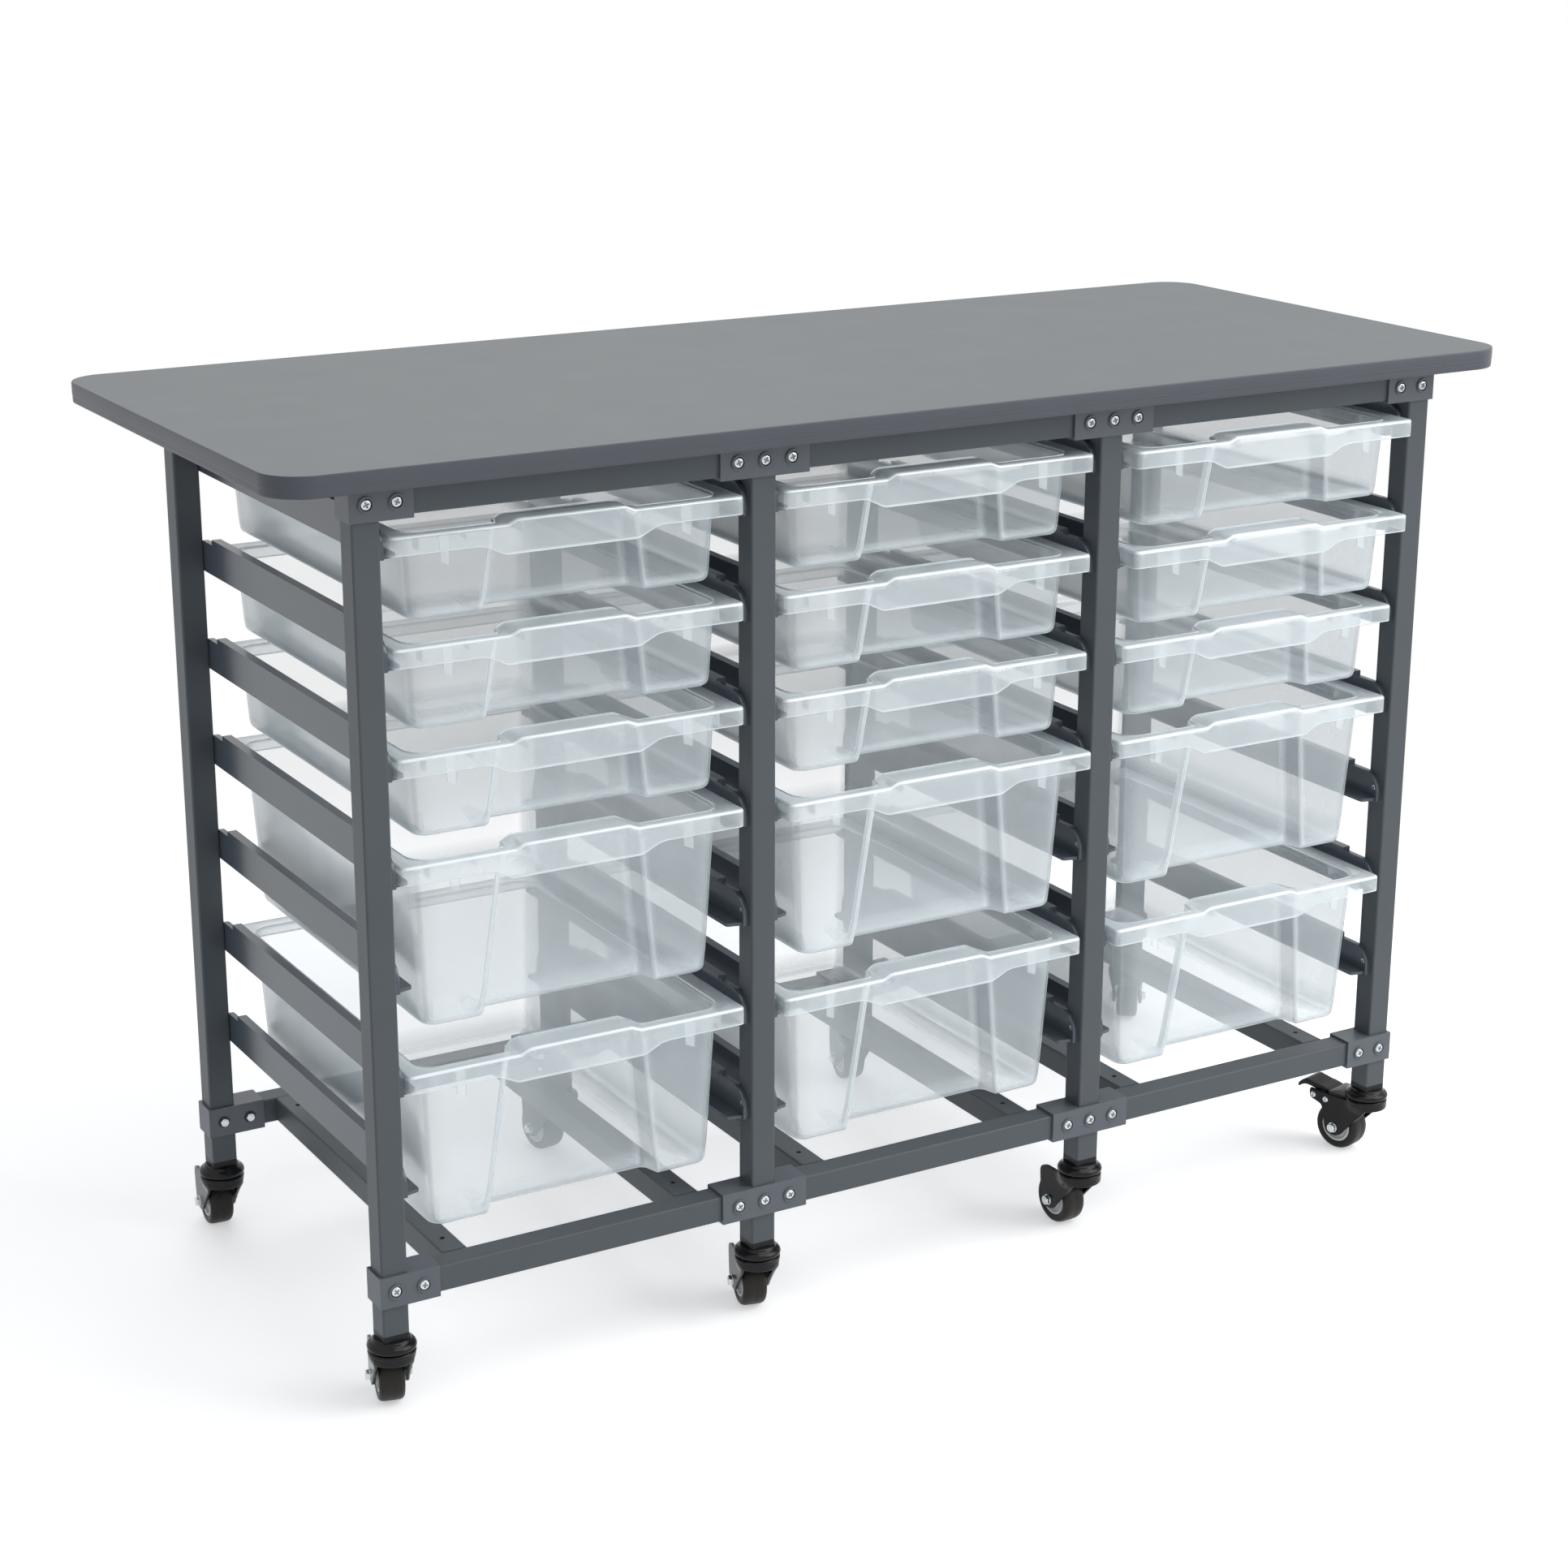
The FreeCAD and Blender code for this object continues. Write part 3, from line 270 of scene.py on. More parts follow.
def drifting_tone(tree, value, tone, drift, start, most=1.0):
    """A colour that follows a value: the tone less its drift up to start, the tone plus
    its drift from one minus start on, and no channel above most."""
    ramp = tree.nodes.new("ShaderNodeValToRGB")
    first, last = ramp.color_ramp.elements
    first.position, last.position = start, 1 - start
    first.color = (*[channel * (1 - drift) for channel in tone], 1)
    last.color = (*[min(channel * (1 + drift), most) for channel in tone], 1)
    feed(tree, ramp, {"Fac": value})
    return ramp.outputs["Color"]


def ranged(tree, value, middle, drift):
    """A number that follows a value, from middle - drift to middle + drift."""
    return add_node(tree, "MapRange", {"Value": value, "To Min": middle - drift,
                                       "To Max": middle + drift})["Result"]


def maths(tree, operation, first, second):
    """One step of a formula: each side is a number or another node's output."""
    return add_node(tree, "Math", {0: first, 1: second}, operation=operation)["Value"]


def mixed(tree, share, first, second):
    """Two shaders mixed, the second by the share."""
    return add_node(tree, "MixShader", {0: share, 1: first, 2: second})["Shader"]


print("shared steps ready")

# %% Solid finishes
BROAD_SCALE, FINE_SHARE, RELIEF_STRENGTH = 14.0, 0.35, 0.6


def finish(name, tone, drift, rough, rough_drift, grain, depth, metal=0.0, gloss=0.5):
    """A finish with a colour that drifts about its tone, a roughness that drifts, and a
    fine relief. Grain is in cells per metre, depth in metres, and gloss is the shader's
    specular level."""
    material, tree, shader = new_finish(name)
    broad, fine = noise(tree, BROAD_SCALE, 4.0), noise(tree, grain, 2.0)
    blend = add_node(tree, "Mix", {"Factor": FINE_SHARE, "A": broad, "B": fine})["Result"]
    relief = add_node(tree, "Bump", {"Distance": depth, "Strength": RELIEF_STRENGTH,
                                     "Height": fine})["Normal"]
    feed(tree, shader, {"Base Color": drifting_tone(tree, blend, tone, drift, 0.25),
                        "Roughness": ranged(tree, broad, rough, rough_drift),
                        "Normal": relief, "Metallic": metal, "Specular IOR Level": gloss})
    return material


PAINT = finish("slate_powder_coat", (0.084, 0.097, 0.108), 0.05, 0.42, 0.06, 900, 0.00006,
               gloss=0.3)
CONNECTOR = finish("slate_moulding", (0.098, 0.112, 0.131), 0.05, 0.40, 0.05, 1400, 0.00005)
RUNNER = finish("slate_gloss_moulding", (0.074, 0.092, 0.113), 0.06, 0.24, 0.05, 700, 0.00003)
LAMINATE = finish("grey_laminate", (0.120, 0.134, 0.140), 0.04, 0.46, 0.05, 1100, 0.00004,
                  gloss=0.22)
BAND = finish("dark_edge_band", (0.089, 0.096, 0.112), 0.05, 0.38, 0.05, 1200, 0.00004,
              gloss=0.25)
ZINC = finish("zinc_plate", (0.60, 0.64, 0.65), 0.10, 0.24, 0.08, 2500, 0.00002, metal=1.0)
# Painted shade: a darker zinc for the crosses that fill the screw heads' recesses, where they
# lie in shadow.
SHADED_ZINC = finish("zinc_recess_shade", (0.20, 0.22, 0.23), 0.10, 0.45, 0.08, 2500, 0.00002,
                   metal=1.0)
BLACK = finish("black_moulding", (0.011, 0.011, 0.012), 0.10, 0.36, 0.06, 1200, 0.00004,
               gloss=0.22)
STEEL_BLACK = finish("black_gloss_paint", (0.010, 0.010, 0.011), 0.12, 0.17, 0.05, 900,
                     0.00004, gloss=0.22)
TYRE = finish("tyre_rubber", (0.022, 0.020, 0.018), 0.12, 0.42, 0.08, 1500, 0.00008,
              gloss=0.22)
HUB = finish("hub_moulding", (0.78, 0.79, 0.78), 0.05, 0.42, 0.05, 1500, 0.00004)
# Painted shade: near-black for the rings round screw heads and nuts and for the runner
# screws' cross recesses, standing for the shadow in their sunk seats.
PAINTED_SHADE = finish("screw_seat_shadow", (0.012, 0.013, 0.015), 0.10, 0.50, 0.05, 1200, 0.00003)
print("solid finishes:", len(bpy.data.materials))

# %% [markdown]
# ## Translucent polypropylene
# The bins are natural polypropylene: a milky wall two millimetres thick, through which
# things show softly and which looks whiter wherever there are more walls in line. A glass
# shader would bend the view and turn noisy. A mostly see-through surface over a pale
# blue-white one adds up wall by wall, just as the real plastic does.

# %% The bins' plastic
WALL_COVER, SKIRT_COVER, ROUND_COVER, RIB_COVER = 0.11, 0.30, 0.68, 0.22
LEAST_COSINE = 0.16


def milky_plastic(name, tone, rough):
    """A see-through finish. The share of light that one surface holds back when it is
    seen square on is the mesh's own cover value c. Seen at a slant the view runs a longer
    way through the wall, so it holds back 1 - (1 - c) ** (1 / cosine)."""
    material, tree, shader = new_finish(name)
    cloud = noise(tree, 26.0, 0.0)
    slant = add_node(tree, "LayerWeight", {"Blend": 0.5})["Facing"]
    own = add_node(tree, "Attribute", {}, attribute_name="cover")["Fac"]
    cosine = maths(tree, "MAXIMUM", maths(tree, "SUBTRACT", 1.0, slant), LEAST_COSINE)
    passed = maths(tree, "POWER", maths(tree, "SUBTRACT", 1.0, own),
                   maths(tree, "DIVIDE", 1.0, cosine))
    feed(tree, shader, {"Base Color": drifting_tone(tree, cloud, tone, 0.03, 0.3, 0.99),
                        "Roughness": ranged(tree, cloud, rough, 0.05),
                        "Alpha": maths(tree, "SUBTRACT", 1.0, passed),
                        "IOR": 1.9, "Specular IOR Level": 0.9})
    return material


BIN = milky_plastic("milky_polypropylene", (0.78, 0.87, 0.91), 0.16)
print("one wall lets", round((1 - WALL_COVER) ** 2, 2), "of the light through")

# %% [markdown]
# ## Frame and worktop
# The square tubes and the board are right as they come from the solid model, and only
# need a finish. The connectors, runners, worktop screws and leg inserts keep their solids
# too. Nothing is moved.

# %% Finishes on the solids that keep their shape
CARRIED = {
    PAINT: ["front_posts", "rear_posts", "bottom_rails", "top_rails",
            "bottom_cross_rails", "top_cross_rails"],
    LAMINATE: ["worktop"],
    CONNECTOR: ["corner_connectors", "middle_connectors"],
    RUNNER: ["left_runners", "right_runners"],
    ZINC: ["worktop_screws"],
    BLACK: ["leg_inserts"],
}
for material, nodes in CARRIED.items():
    for node in nodes:
        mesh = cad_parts[node].data
        mesh.materials.clear()
        mesh.materials.append(material)
print("finishes on", sum(len(nodes) for nodes in CARRIED.values()), "nodes")

# %% [markdown]
# ## The bins
# A bin is one moulding. Walk from the middle of the floor out to the wall, up the wall,
# over the rim, down the skirt, up inside the skirt and down the outer wall to the middle
# of the base: every step of that walk is a closed loop round the bin, and all the loops
# have the same number of points. So the whole bin is one grid: a height profile carried
# round an outline that changes from the rounded rectangle of the rim to the body with its
# hand recess.

# %% Sizes of the bins, in millimetres
RIM_HALF, RIM_DEEP, RIM_CORNER = 167.5, 442.0, 5.5
BODY_HALF, BODY_FRONT, BODY_REAR = 151.0, 13.0, 424.0
BODY_CORNER, CORNER_DRAW = 20.0, 5.0
SKIRT, SKIRT_WALL = 16.8, 1.9
WALL, RIM_WALL = 2.0, 2.2
FLOOR_ROUND, BASE_ROUND, MOUTH_ROUND, RIM_ROUND = 5.0, 6.0, 2.2, 2.4
RECESS_TOP, RECESS_SLANT, RECESS_SINK, RECESS_ROUND = 65.5, 5.5, 19.0, 5.0
FLOOR_MARGIN, FLOOR_FRONT, FLOOR_CORNER, FLAT_FROM = 33, 85.0, 12.0, 12.0
CREST_RISE, CREST_SHOULDER, CREST_END = 4.0, (50, 61), (34, 60)
GRIP_DROP, GRIP_SHOULDER, GRIP_END = 9.5, (60, 86), (4, 12)
SHALLOW = {"deep": 77.5, "taper": 5.0, "recess": 76.0}
DEEP = {"deep": 158.0, "taper": 9.0, "recess": 85.0}
SPANS = [12, 4, 26, 4, 12, 16, 14, 16]  # points along the side after each corner
ARC = 6  # points round each corner
BODY_CORNERS = np.array([1.0, 0, 0, 0, 0, 1.0, 1.0, 1.0])  # the others make the recess
DEPTHS = (0.12, 0.25, 0.45, 0.65, 0.85)


def section(half, front, rear, wide, panel):
    """Eight corners of a level section: a rectangle whose front side holds the hand
    recess, so wide and with its own panel."""
    narrow = wide - RECESS_SLANT
    return [(-half, front), (-wide, front), (-narrow, panel), (narrow, panel),
            (wide, front), (half, front), (half, rear), (-half, rear)]


def body_loop(kind, depth, inward):
    """The body's outline at a share of its depth (0 rim, 1 base), moved inwards."""
    draw = kind["taper"] * depth
    front = BODY_FRONT + draw
    wide = RECESS_TOP + (kind["recess"] - RECESS_TOP) * depth
    corners = section(BODY_HALF - draw, front, BODY_REAR - draw, wide, front + RECESS_SINK)
    big = BODY_CORNER - CORNER_DRAW * depth - inward
    outer, inner = RECESS_ROUND - min(inward, 4.0), RECESS_ROUND + inward
    radii = [big, outer, inner, inner, outer, big, big, big]
    return rounded_loop(inset(corners, inward), radii, ARC, SPANS)


def floor_loop(kind):
    """A rectangle in the floor, behind the hand recess, so that the floor never folds
    over itself. The recess's corners stand idle on its front side."""
    less = kind["taper"] + FLOOR_MARGIN
    corners = section(BODY_HALF - less, FLOOR_FRONT, BODY_REAR - less, kind["recess"],
                      FLOOR_FRONT)
    return rounded_loop(corners, FLOOR_CORNER * BODY_CORNERS, ARC, SPANS)


def rim_loop(inward):
    """The rim's rectangle, with idle corners on its front side so that every point has
    its partner on the body."""
    corners = section(RIM_HALF - inward, inward, RIM_DEEP - inward, RECESS_TOP, inward)
    return rounded_loop(corners, max(RIM_CORNER - inward, 0.5) * BODY_CORNERS, ARC, SPANS)


def swell(value, start, stop):
    """A smooth step: 0 before start, 1 after stop, with level ends."""
    share = np.clip((value - start) / (stop - start), 0, 1)
    return share * share * (3 - 2 * share)


def crest(points):
    """Rise of the rim's middle between the shoulders, only along the front."""
    across = 1 - swell(np.abs(points[:, 0]), *CREST_SHOULDER)
    return CREST_RISE * across * (1 - swell(points[:, 1], *CREST_END))


def grip(points):
    """Drop of the skirt's lower edge along the front: an S on each side."""
    across = 1 - swell(np.abs(points[:, 0]), *GRIP_SHOULDER)
    return GRIP_DROP * across * (1 - swell(points[:, 1], *GRIP_END))


print("outlines of", sum(SPANS) + len(SPANS) * ARC, "points round a bin")

# %% [markdown]
# ## Where the plastic looks denser
# A bin's plastic holds back more light in some places: on the side walls, which the eye
# meets at a slant, and in the folds beside the hand recess. Each place is a stretch of
# the loop, counted in whole corners, so it stays right when the number of points changes.

# %% Denser stretches of a loop
CORNER = np.cumsum([0] + [ARC + span for span in SPANS])
SIDE_WALL = np.zeros(CORNER[-1])
for start, stop in ((CORNER[5] + ARC // 2, CORNER[6] + ARC // 2),
                    (CORNER[7] + ARC // 2, CORNER[8]), (0, ARC // 2)):
    SIDE_WALL[start:stop] = 1.0
RECESS_EDGE = np.zeros(CORNER[-1])
for outer, inner in ((1, 2), (3, 4)):
    RECESS_EDGE[CORNER[outer]:CORNER[inner] + ARC] = 0.3
for fold in (1, 4):
    RECESS_EDGE[CORNER[fold] + 1:CORNER[fold] + ARC - 1] = 1.0
SIDE_MORE, RECESS_MORE = 0.13, 0.30
INNER_ROUND_COVER, MOUTH_COVER, BASE_COVER = 0.22, 0.4, 0.30


def bin_patch(kind):
    """The whole bin as one grid, from the middle of its floor to the middle of its base,
    and beside it the grid of cover values: high on the rounds of rim, skirt and base,
    middling on the skirt and the side walls, low on the other walls and the floor."""
    span, base = kind["deep"], SKIRT - kind["deep"]
    loops, cover = [], []

    def add(points, height, hold):
        """A loop at its height, with one cover value or one for each point."""
        loops.append((points, height))
        cover.append(np.broadcast_to(hold, len(points)))

    def body(depth, inward, height, rise=0.0, hold=WALL_COVER):
        """A loop of the body, raised by a share of the crest."""
        points = body_loop(kind, depth, inward)
        add(points, height + rise * crest(points),
            hold + RECESS_MORE * RECESS_EDGE + SIDE_MORE * SIDE_WALL)

    def skirt(inward, share, top, hold):
        """A loop of the skirt, at a share of the way from its lower edge to its top."""
        points = rim_loop(inward)
        low, high = -grip(points), top + crest(points)
        add(points, low + (high - low) * share, hold)

    def rim(first, second, shares, height, hold):
        """Loops across the rim from the first outline to the second."""
        for share in shares:
            points = first + (second - first) * share
            add(points, height + crest(points), hold)

    add(floor_loop(kind), base + WALL, WALL_COVER)
    body(1.0, FLAT_FROM, base + WALL)
    for share, rise in quarter(4):
        body(1.0, WALL + FLOOR_ROUND * share, base + WALL + FLOOR_ROUND * rise,
             hold=INNER_ROUND_COVER)
    for depth in reversed(DEPTHS):
        body(depth, WALL, SKIRT - span * depth)
    body(0.0, WALL, SKIRT - 5, 0.6)
    for share, rise in reversed(quarter(3)):
        body(0.0, WALL - MOUTH_ROUND * (1 - share), SKIRT - MOUTH_ROUND * (1 - rise), 1.0,
             hold=MOUTH_COVER)
    rim(body_loop(kind, 0.0, -0.6), rim_loop(2.6), (0.33, 0.66, 1.0), SKIRT, SKIRT_COVER)
    for share, rise in reversed(quarter(3)):
        points = rim_loop(RIM_ROUND * share)
        add(points, SKIRT - RIM_ROUND * rise + crest(points), ROUND_COVER)
    for share in (0.97, 0.66, 0.33, 0.10):
        skirt(0.0, share, SKIRT - RIM_ROUND, SKIRT_COVER)
    skirt(0.0, 0.03, SKIRT - RIM_ROUND, ROUND_COVER)
    for inward in (0.5, 1.4):
        skirt(inward, 0.0, SKIRT, ROUND_COVER)
    for share in (0.10, 0.5, 1.0):
        skirt(SKIRT_WALL, share, SKIRT - RIM_WALL, WALL_COVER)
    rim(rim_loop(SKIRT_WALL), body_loop(kind, 0.0, 0.0), (0.5, 1.0), SKIRT - RIM_WALL,
        WALL_COVER)
    body(0.06, 0.0, SKIRT - span * 0.06, 0.5)
    for depth in DEPTHS:
        body(depth, 0.0, SKIRT - span * depth)
    for share, rise in reversed(quarter(4)):
        body(1.0, BASE_ROUND * share, base + BASE_ROUND * rise, hold=BASE_COVER)
    body(1.0, FLAT_FROM, base)
    add(floor_loop(kind), base, WALL_COVER)
    return stacked(loops), np.stack([cover[0]] + cover + [cover[-1]])


shallow_patch, shallow_cover = bin_patch(SHALLOW)
deep_patch, deep_cover = bin_patch(DEEP)
print("bin grid:", shallow_patch.shape[0], "loops of", shallow_patch.shape[1], "points")

# %% [markdown]
# ## Ribs and tabs of a bin
# Under the rim the moulding is stiffened: short ribs join the skirt to the wall along the
# front and both sides, and two tabs hang behind the skirt's lower edge. They show through
# the skirt as bluer, denser marks. Each is its own small closed block that dips into the
# walls it stiffens.

# %% Small forms under the rim


def block(outline, front, back):
    """A closed block with a four-sided outline of (x, z) corners, from front to back."""
    x, z = np.array(outline, float).T
    return capped([np.column_stack([x, np.full(4, y), z]) for y in (front, back)])


# Ribs along the front: place across, thickness, rear end, lower end.
FRONT_RIBS = [(-141, 1.4, 14.0, 3.0), (141, 1.4, 14.0, 3.0), (-98, 1.2, 14.0, 8.0),
              (92, 1.2, 14.0, 8.0), (-46, 1.2, 33.0, 9.0), (46, 1.2, 33.0, 9.0)]
RIB_FRONT, RIB_TOP, RIB_LOW, SIDE_RIB_HALF = 1.2, SKIRT - 1, 3.0, 0.7
TABS = ((-122.0, -112.0), (105.5, 117.0))
TAB_DROP, TAB_SLANT, TAB_FRONT, TAB_BACK = -13.0, 4, 3.4, 5.0
SIDE_RIBS = (60, 150, 240, 330, 410)


def bin_stiffeners():
    """Everything that hangs under the rim, as patches in the bin's own place."""
    forms = [block(rectangle(x - thick / 2, x + thick / 2, low, RIB_TOP), RIB_FRONT, rear)
             for x, thick, rear, low in FRONT_RIBS]
    for left, right in TABS:
        tab = [(left + 1, TAB_DROP + TAB_SLANT), (right - 1, TAB_DROP), (right, RIB_TOP),
               (left, RIB_TOP)]
        forms.append(block(tab, TAB_FRONT, TAB_BACK))
    outer, inner = RIM_HALF - 1.5, BODY_HALF - 1.0
    for side in (-1, 1):
        outline = rectangle(side * outer, side * inner, RIB_LOW, RIB_TOP)
        forms += [block(outline, y - SIDE_RIB_HALF, y + SIDE_RIB_HALF) for y in SIDE_RIBS]
    return forms


STIFFENERS = bin_stiffeners()
print("stiffeners:", len(STIFFENERS), "to a bin")

# %% [markdown]
# ## Fifteen bins in place
# A bin's place comes from its solid: the middle across, the front of the rim, and the
# base. Some stand a few millimetres forward, as they were left. Clear walls hardly shade
# what is behind them, and a ray that meets thirty of them is slow, so the bins are left
# out for shadow and diffuse rays.

# %% Bins
BINS = sorted(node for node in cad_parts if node.endswith("_bin"))
for node in BINS:
    low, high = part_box(node)
    kind = DEEP if (high.z - low.z) > 0.12 else SHALLOW
    patch, hold = (deep_patch, deep_cover) if kind is DEEP else (shallow_patch, shallow_cover)
    rise = low.z / MM - (SKIRT - kind["deep"])
    place = np.array([(low.x + high.x) / 2 / MM, low.y / MM, rise])
    patches = [form + place for form in [patch] + STIFFENERS]
    cover = np.concatenate([hold.ravel()]
                           + [np.full(form.size // 3, RIB_COVER) for form in patches[1:]])
    bin_piece = mesh_piece(node.replace("_bin", "_moulded_bin"), patches, node,
                           BIN, hides=[node], smooth=40.0, cover=cover)
    bin_piece.visible_shadow = False
    bin_piece.visible_diffuse = False
print(len(BINS), "bins, the last at", place.round(1))

# %% [markdown]
# ## Swivel casters
# A caster has a fixed bearing cap under the leg and a pressed fork that turns below it.
# Cap and crown are spun parts, so their profiles are turned about the stem. The fork's
# two plates leave the crown along its circle and draw in towards the wheel: each height
# of a plate is one closed loop whose middle line follows the crown's circle at the top
# and lies straight at the axle.

# %% Where the casters stand
FRONT_LINE, REAR_LINE = -229.5, 197.5
POST_LINES = (-562.5, -187.5, 187.5, 562.5)
TRAILS = {"front": (74.8, 75.2, 91.7, 105.1), "rear": (85.5, 98.0, 80.0, 50.0)}
TRAIL, AXLE_UP = 28.7, 25.4
CASTERS = {}
for row, line in (("front", FRONT_LINE), ("rear", REAR_LINE)):
    for index, across in enumerate(POST_LINES):
        turn = math.radians(TRAILS[row][index])
        CASTERS[f"{row}_caster_{index + 1}"] = (across, line, turn)


def under_leg(patch, caster):
    """The patch turned about the stem so that its x axis trails, and moved under the leg."""
    across, line, turn = CASTERS[caster]
    trailing = (math.cos(turn), math.sin(turn), 0)
    sideways = (-math.sin(turn), math.cos(turn), 0)
    return laid(patch, trailing, sideways, (0, 0, 1), (across, line, 0))


print(len(CASTERS), "casters")

# %% Cap and crown, spun about the stem
cap = turned([(8.0, 57.6), (8.0, 60.0), (4.0, 60.3), (4.0, 65.8), (19.6, 65.8), (21.4, 66.4),
              (22.3, 67.6), (22.5, 69.0), (22.1, 70.4), (21.0, 71.9), (19.4, 73.0),
              (18.2, 73.6), (17.6, 74.3), (17.2, 75.2), (16.4, 76.0), (15.2, 76.4),
              (5.5, 76.5), (5.5, 102.0), (4.6, 102.5)], 48)
crown = ring([(4.4, 60.5), (19.8, 60.5), (21.2, 60.9), (21.9, 61.8), (22.0, 63.0),
              (21.7, 64.2), (20.8, 65.1), (19.4, 65.5), (15.0, 65.5), (4.4, 65.5)], 48)
caps = [under_leg(cap, caster) for caster in CASTERS]
mesh_piece("caster_caps", caps, "frame", STEEL_BLACK, hides=["caster_stems"])
print("cap of", cap.shape[0] - 2, "rings")

# %% Fork plates, apron and cover
PLATE_Z = [16.4, 17.0, 18.4, 20.6, 25.4, 33.0, 41.0, 48.0, 52.0, 55.0, 58.0, 60.6, 62.6]
PLATE_FRONT = [26.4, 23.8, 20.9, 18.2, 14.6, 8.0, 0.6, -6.2, -9.6, -12.0, -13.6, -14.0,
               -13.6]
PLATE_REAR = [31.0, 33.6, 36.4, 38.6, 40.2, 41.6, 42.4, 43.0, 43.3, 43.2, 42.0, 38.6, 31.0]
EAR_REAR = [31.0, 33.6, 36.4, 38.4, 40.2, 41.6, 42.6, 46.0, 59.6, 60.6, 61.0, 61.0, 59.8]
CROWN_RADIUS, PLATE_MIDDLE, PLATE_HALF = 22.0, 15.5, 1.5
FLARE_FROM, FLARE_TO, FLARE_GAP = 47.0, 61.0, 0.4
PLATE_ROWS, PLATE_POINTS, PLATE_NOSE = 34, 15, 0.7
APRON = rectangle(19.2, 21.9, 55.2, 62.5)
APRON_ROUND, APRON_FROM, APRON_TO, APRON_STEPS = 1.1, math.radians(125), math.radians(235), 25


def fork_plate(side, rear):
    """One plate: at each height a thin rounded strip from its front to its rear edge. Its
    middle line flares out to the crown's circle, sqrt(radius^2 - s^2), near the top, and
    its faces draw in at both ends."""
    lowest, highest = PLATE_Z[0], PLATE_Z[-1]
    half = np.full(PLATE_POINTS, PLATE_HALF)
    thick = np.concatenate([[0], -half, [0], half])
    loops = []
    for height in np.linspace(lowest, highest, PLATE_ROWS):
        front, back = (np.interp(height, PLATE_Z, line) for line in (PLATE_FRONT, rear))
        there = np.linspace(front + PLATE_NOSE, back - PLATE_NOSE, PLATE_POINTS)
        s = np.concatenate([[front], there, [back], there[::-1]])
        circle = np.sqrt(np.clip(CROWN_RADIUS ** 2 - s ** 2, 0, None))
        flare = np.clip(circle - PLATE_MIDDLE - PLATE_HALF - FLARE_GAP, 0, None)
        middle = PLATE_MIDDLE + flare * swell(height, FLARE_FROM, FLARE_TO)
        edge = min(1.0, 0.55 + 0.5 * (height - lowest), 0.55 + 0.5 * (highest - height))
        loops.append(np.column_stack([s, side * (middle + thick * edge),
                                      np.full(len(s), height)]))
    return capped(loops)


def fork_apron():
    """The wall under the front of the crown: a rounded upright section swept along the
    crown's circle."""
    radius, height = rounded_loop(APRON, APRON_ROUND, 4).T
    return capped([np.column_stack([radius * math.cos(turn), radius * math.sin(turn), height])
                   for turn in np.linspace(APRON_FROM, APRON_TO, APRON_STEPS)])


def upright(corners, radius, low, high, edge):
    """A plate in the s-z plane, thick along y from low to high."""
    flat = slab(corners, radius, low, high, edge, 5, 2)
    return flat[..., [0, 2, 1]]


COVER_HALF = 16.6
brake_cover = slab(rectangle(12, 37.4, -COVER_HALF, COVER_HALF), 2.5, 62.2, 65.4, 1.0)
fork_front = [crown, fork_apron()]
plain_fork = fork_front + [fork_plate(side, PLATE_REAR) for side in (-1, 1)]
brake_fork = fork_front + [fork_plate(side, EAR_REAR) for side in (-1, 1)] + [brake_cover]
print("fork plate grid", plain_fork[-1].shape)

# %% [markdown]
# ## Axle bolts and rivets
# The axle is a zinc hexagon bolt with a nut, and the braked forks have hollow rivets as
# well. A hexagon's radius at an angle is its half width divided by the cosine of the
# angle to the nearest flat, and the chamfer simply limits that radius.

# %% Small hardware of the casters


def hexagon_head(flats, high, crown_round, sides=36):
    """A hexagon with its face chamfered and slightly domed, upright from z = 0."""
    angle = np.linspace(0, 2 * math.pi, sides, endpoint=False)
    to_flat = (angle + math.pi / 6) % (math.pi / 3) - math.pi / 6
    edge = flats / 2 / np.cos(to_flat)
    steps = ((1, 0), (1, 0.72 * high), (0.535, 0.86 * high), (0.47, high), (0.34, high),
             (0.30, high + crown_round), (0.12, high + 1.3 * crown_round))
    return capped([polar(np.minimum(edge, share * flats), angle, height)
                   for share, height in steps])


def rivet_head(radius, high):
    """A round head with a hollow middle."""
    profile = ((1, 0), (1, 0.4), (0.86, 0.85), (0.6, 1), (0.42, 0.8), (0.34, 0.2))
    return turned([(out * radius, up * high) for out, up in profile], 20)


def facing_side(patch, side, s, height, out):
    """The patch laid on the outside of a fork plate: its z axis points sideways."""
    return laid(patch, (1, 0, 0), (0, 0, -side), (0, side, 0), (s, side * out, height))


def across_fork(patch):
    """The patch with its z axis turned across the fork and its middle at the axle."""
    return patch[..., [0, 2, 1]] + np.array([TRAIL, 0, AXLE_UP])


WASHER_OUT, HEAD_OUT, RIVET_OUT = 17.0, 17.8, 16.9
RIVETS = ((39.6, 54.7), (55.5, 56.0))
washer = turned([(5.6, 0), (5.6, 0.5), (5.3, 0.8), (3.2, 0.8)], 28)
axle_head = hexagon_head(9.0, 3.4, 0.3)
axle_set = [across_fork(turned([(3.0, -21.0), (3.0, 21.0)], 20))]
for side in (-1, 1):
    axle_set.append(facing_side(washer, side, TRAIL, AXLE_UP, WASHER_OUT))
    axle_set.append(facing_side(axle_head, side, TRAIL, AXLE_UP, HEAD_OUT))
rivet_set = [facing_side(rivet_head(3.3, 1.4), side, s, height, RIVET_OUT)
             for s, height in RIVETS for side in (-1, 1)]
print("hexagon of", axle_head.shape[0] * axle_head.shape[1], "points")

# %% [markdown]
# ## Wheel and brake pedal
# The tyre is a ring of dark rubber with rounded shoulders round a pale moulded hub. The
# pedal is a strip whose section runs along a bent line: it rises from its pin, carries
# cross ridges for the shoe, and drops at the tip.

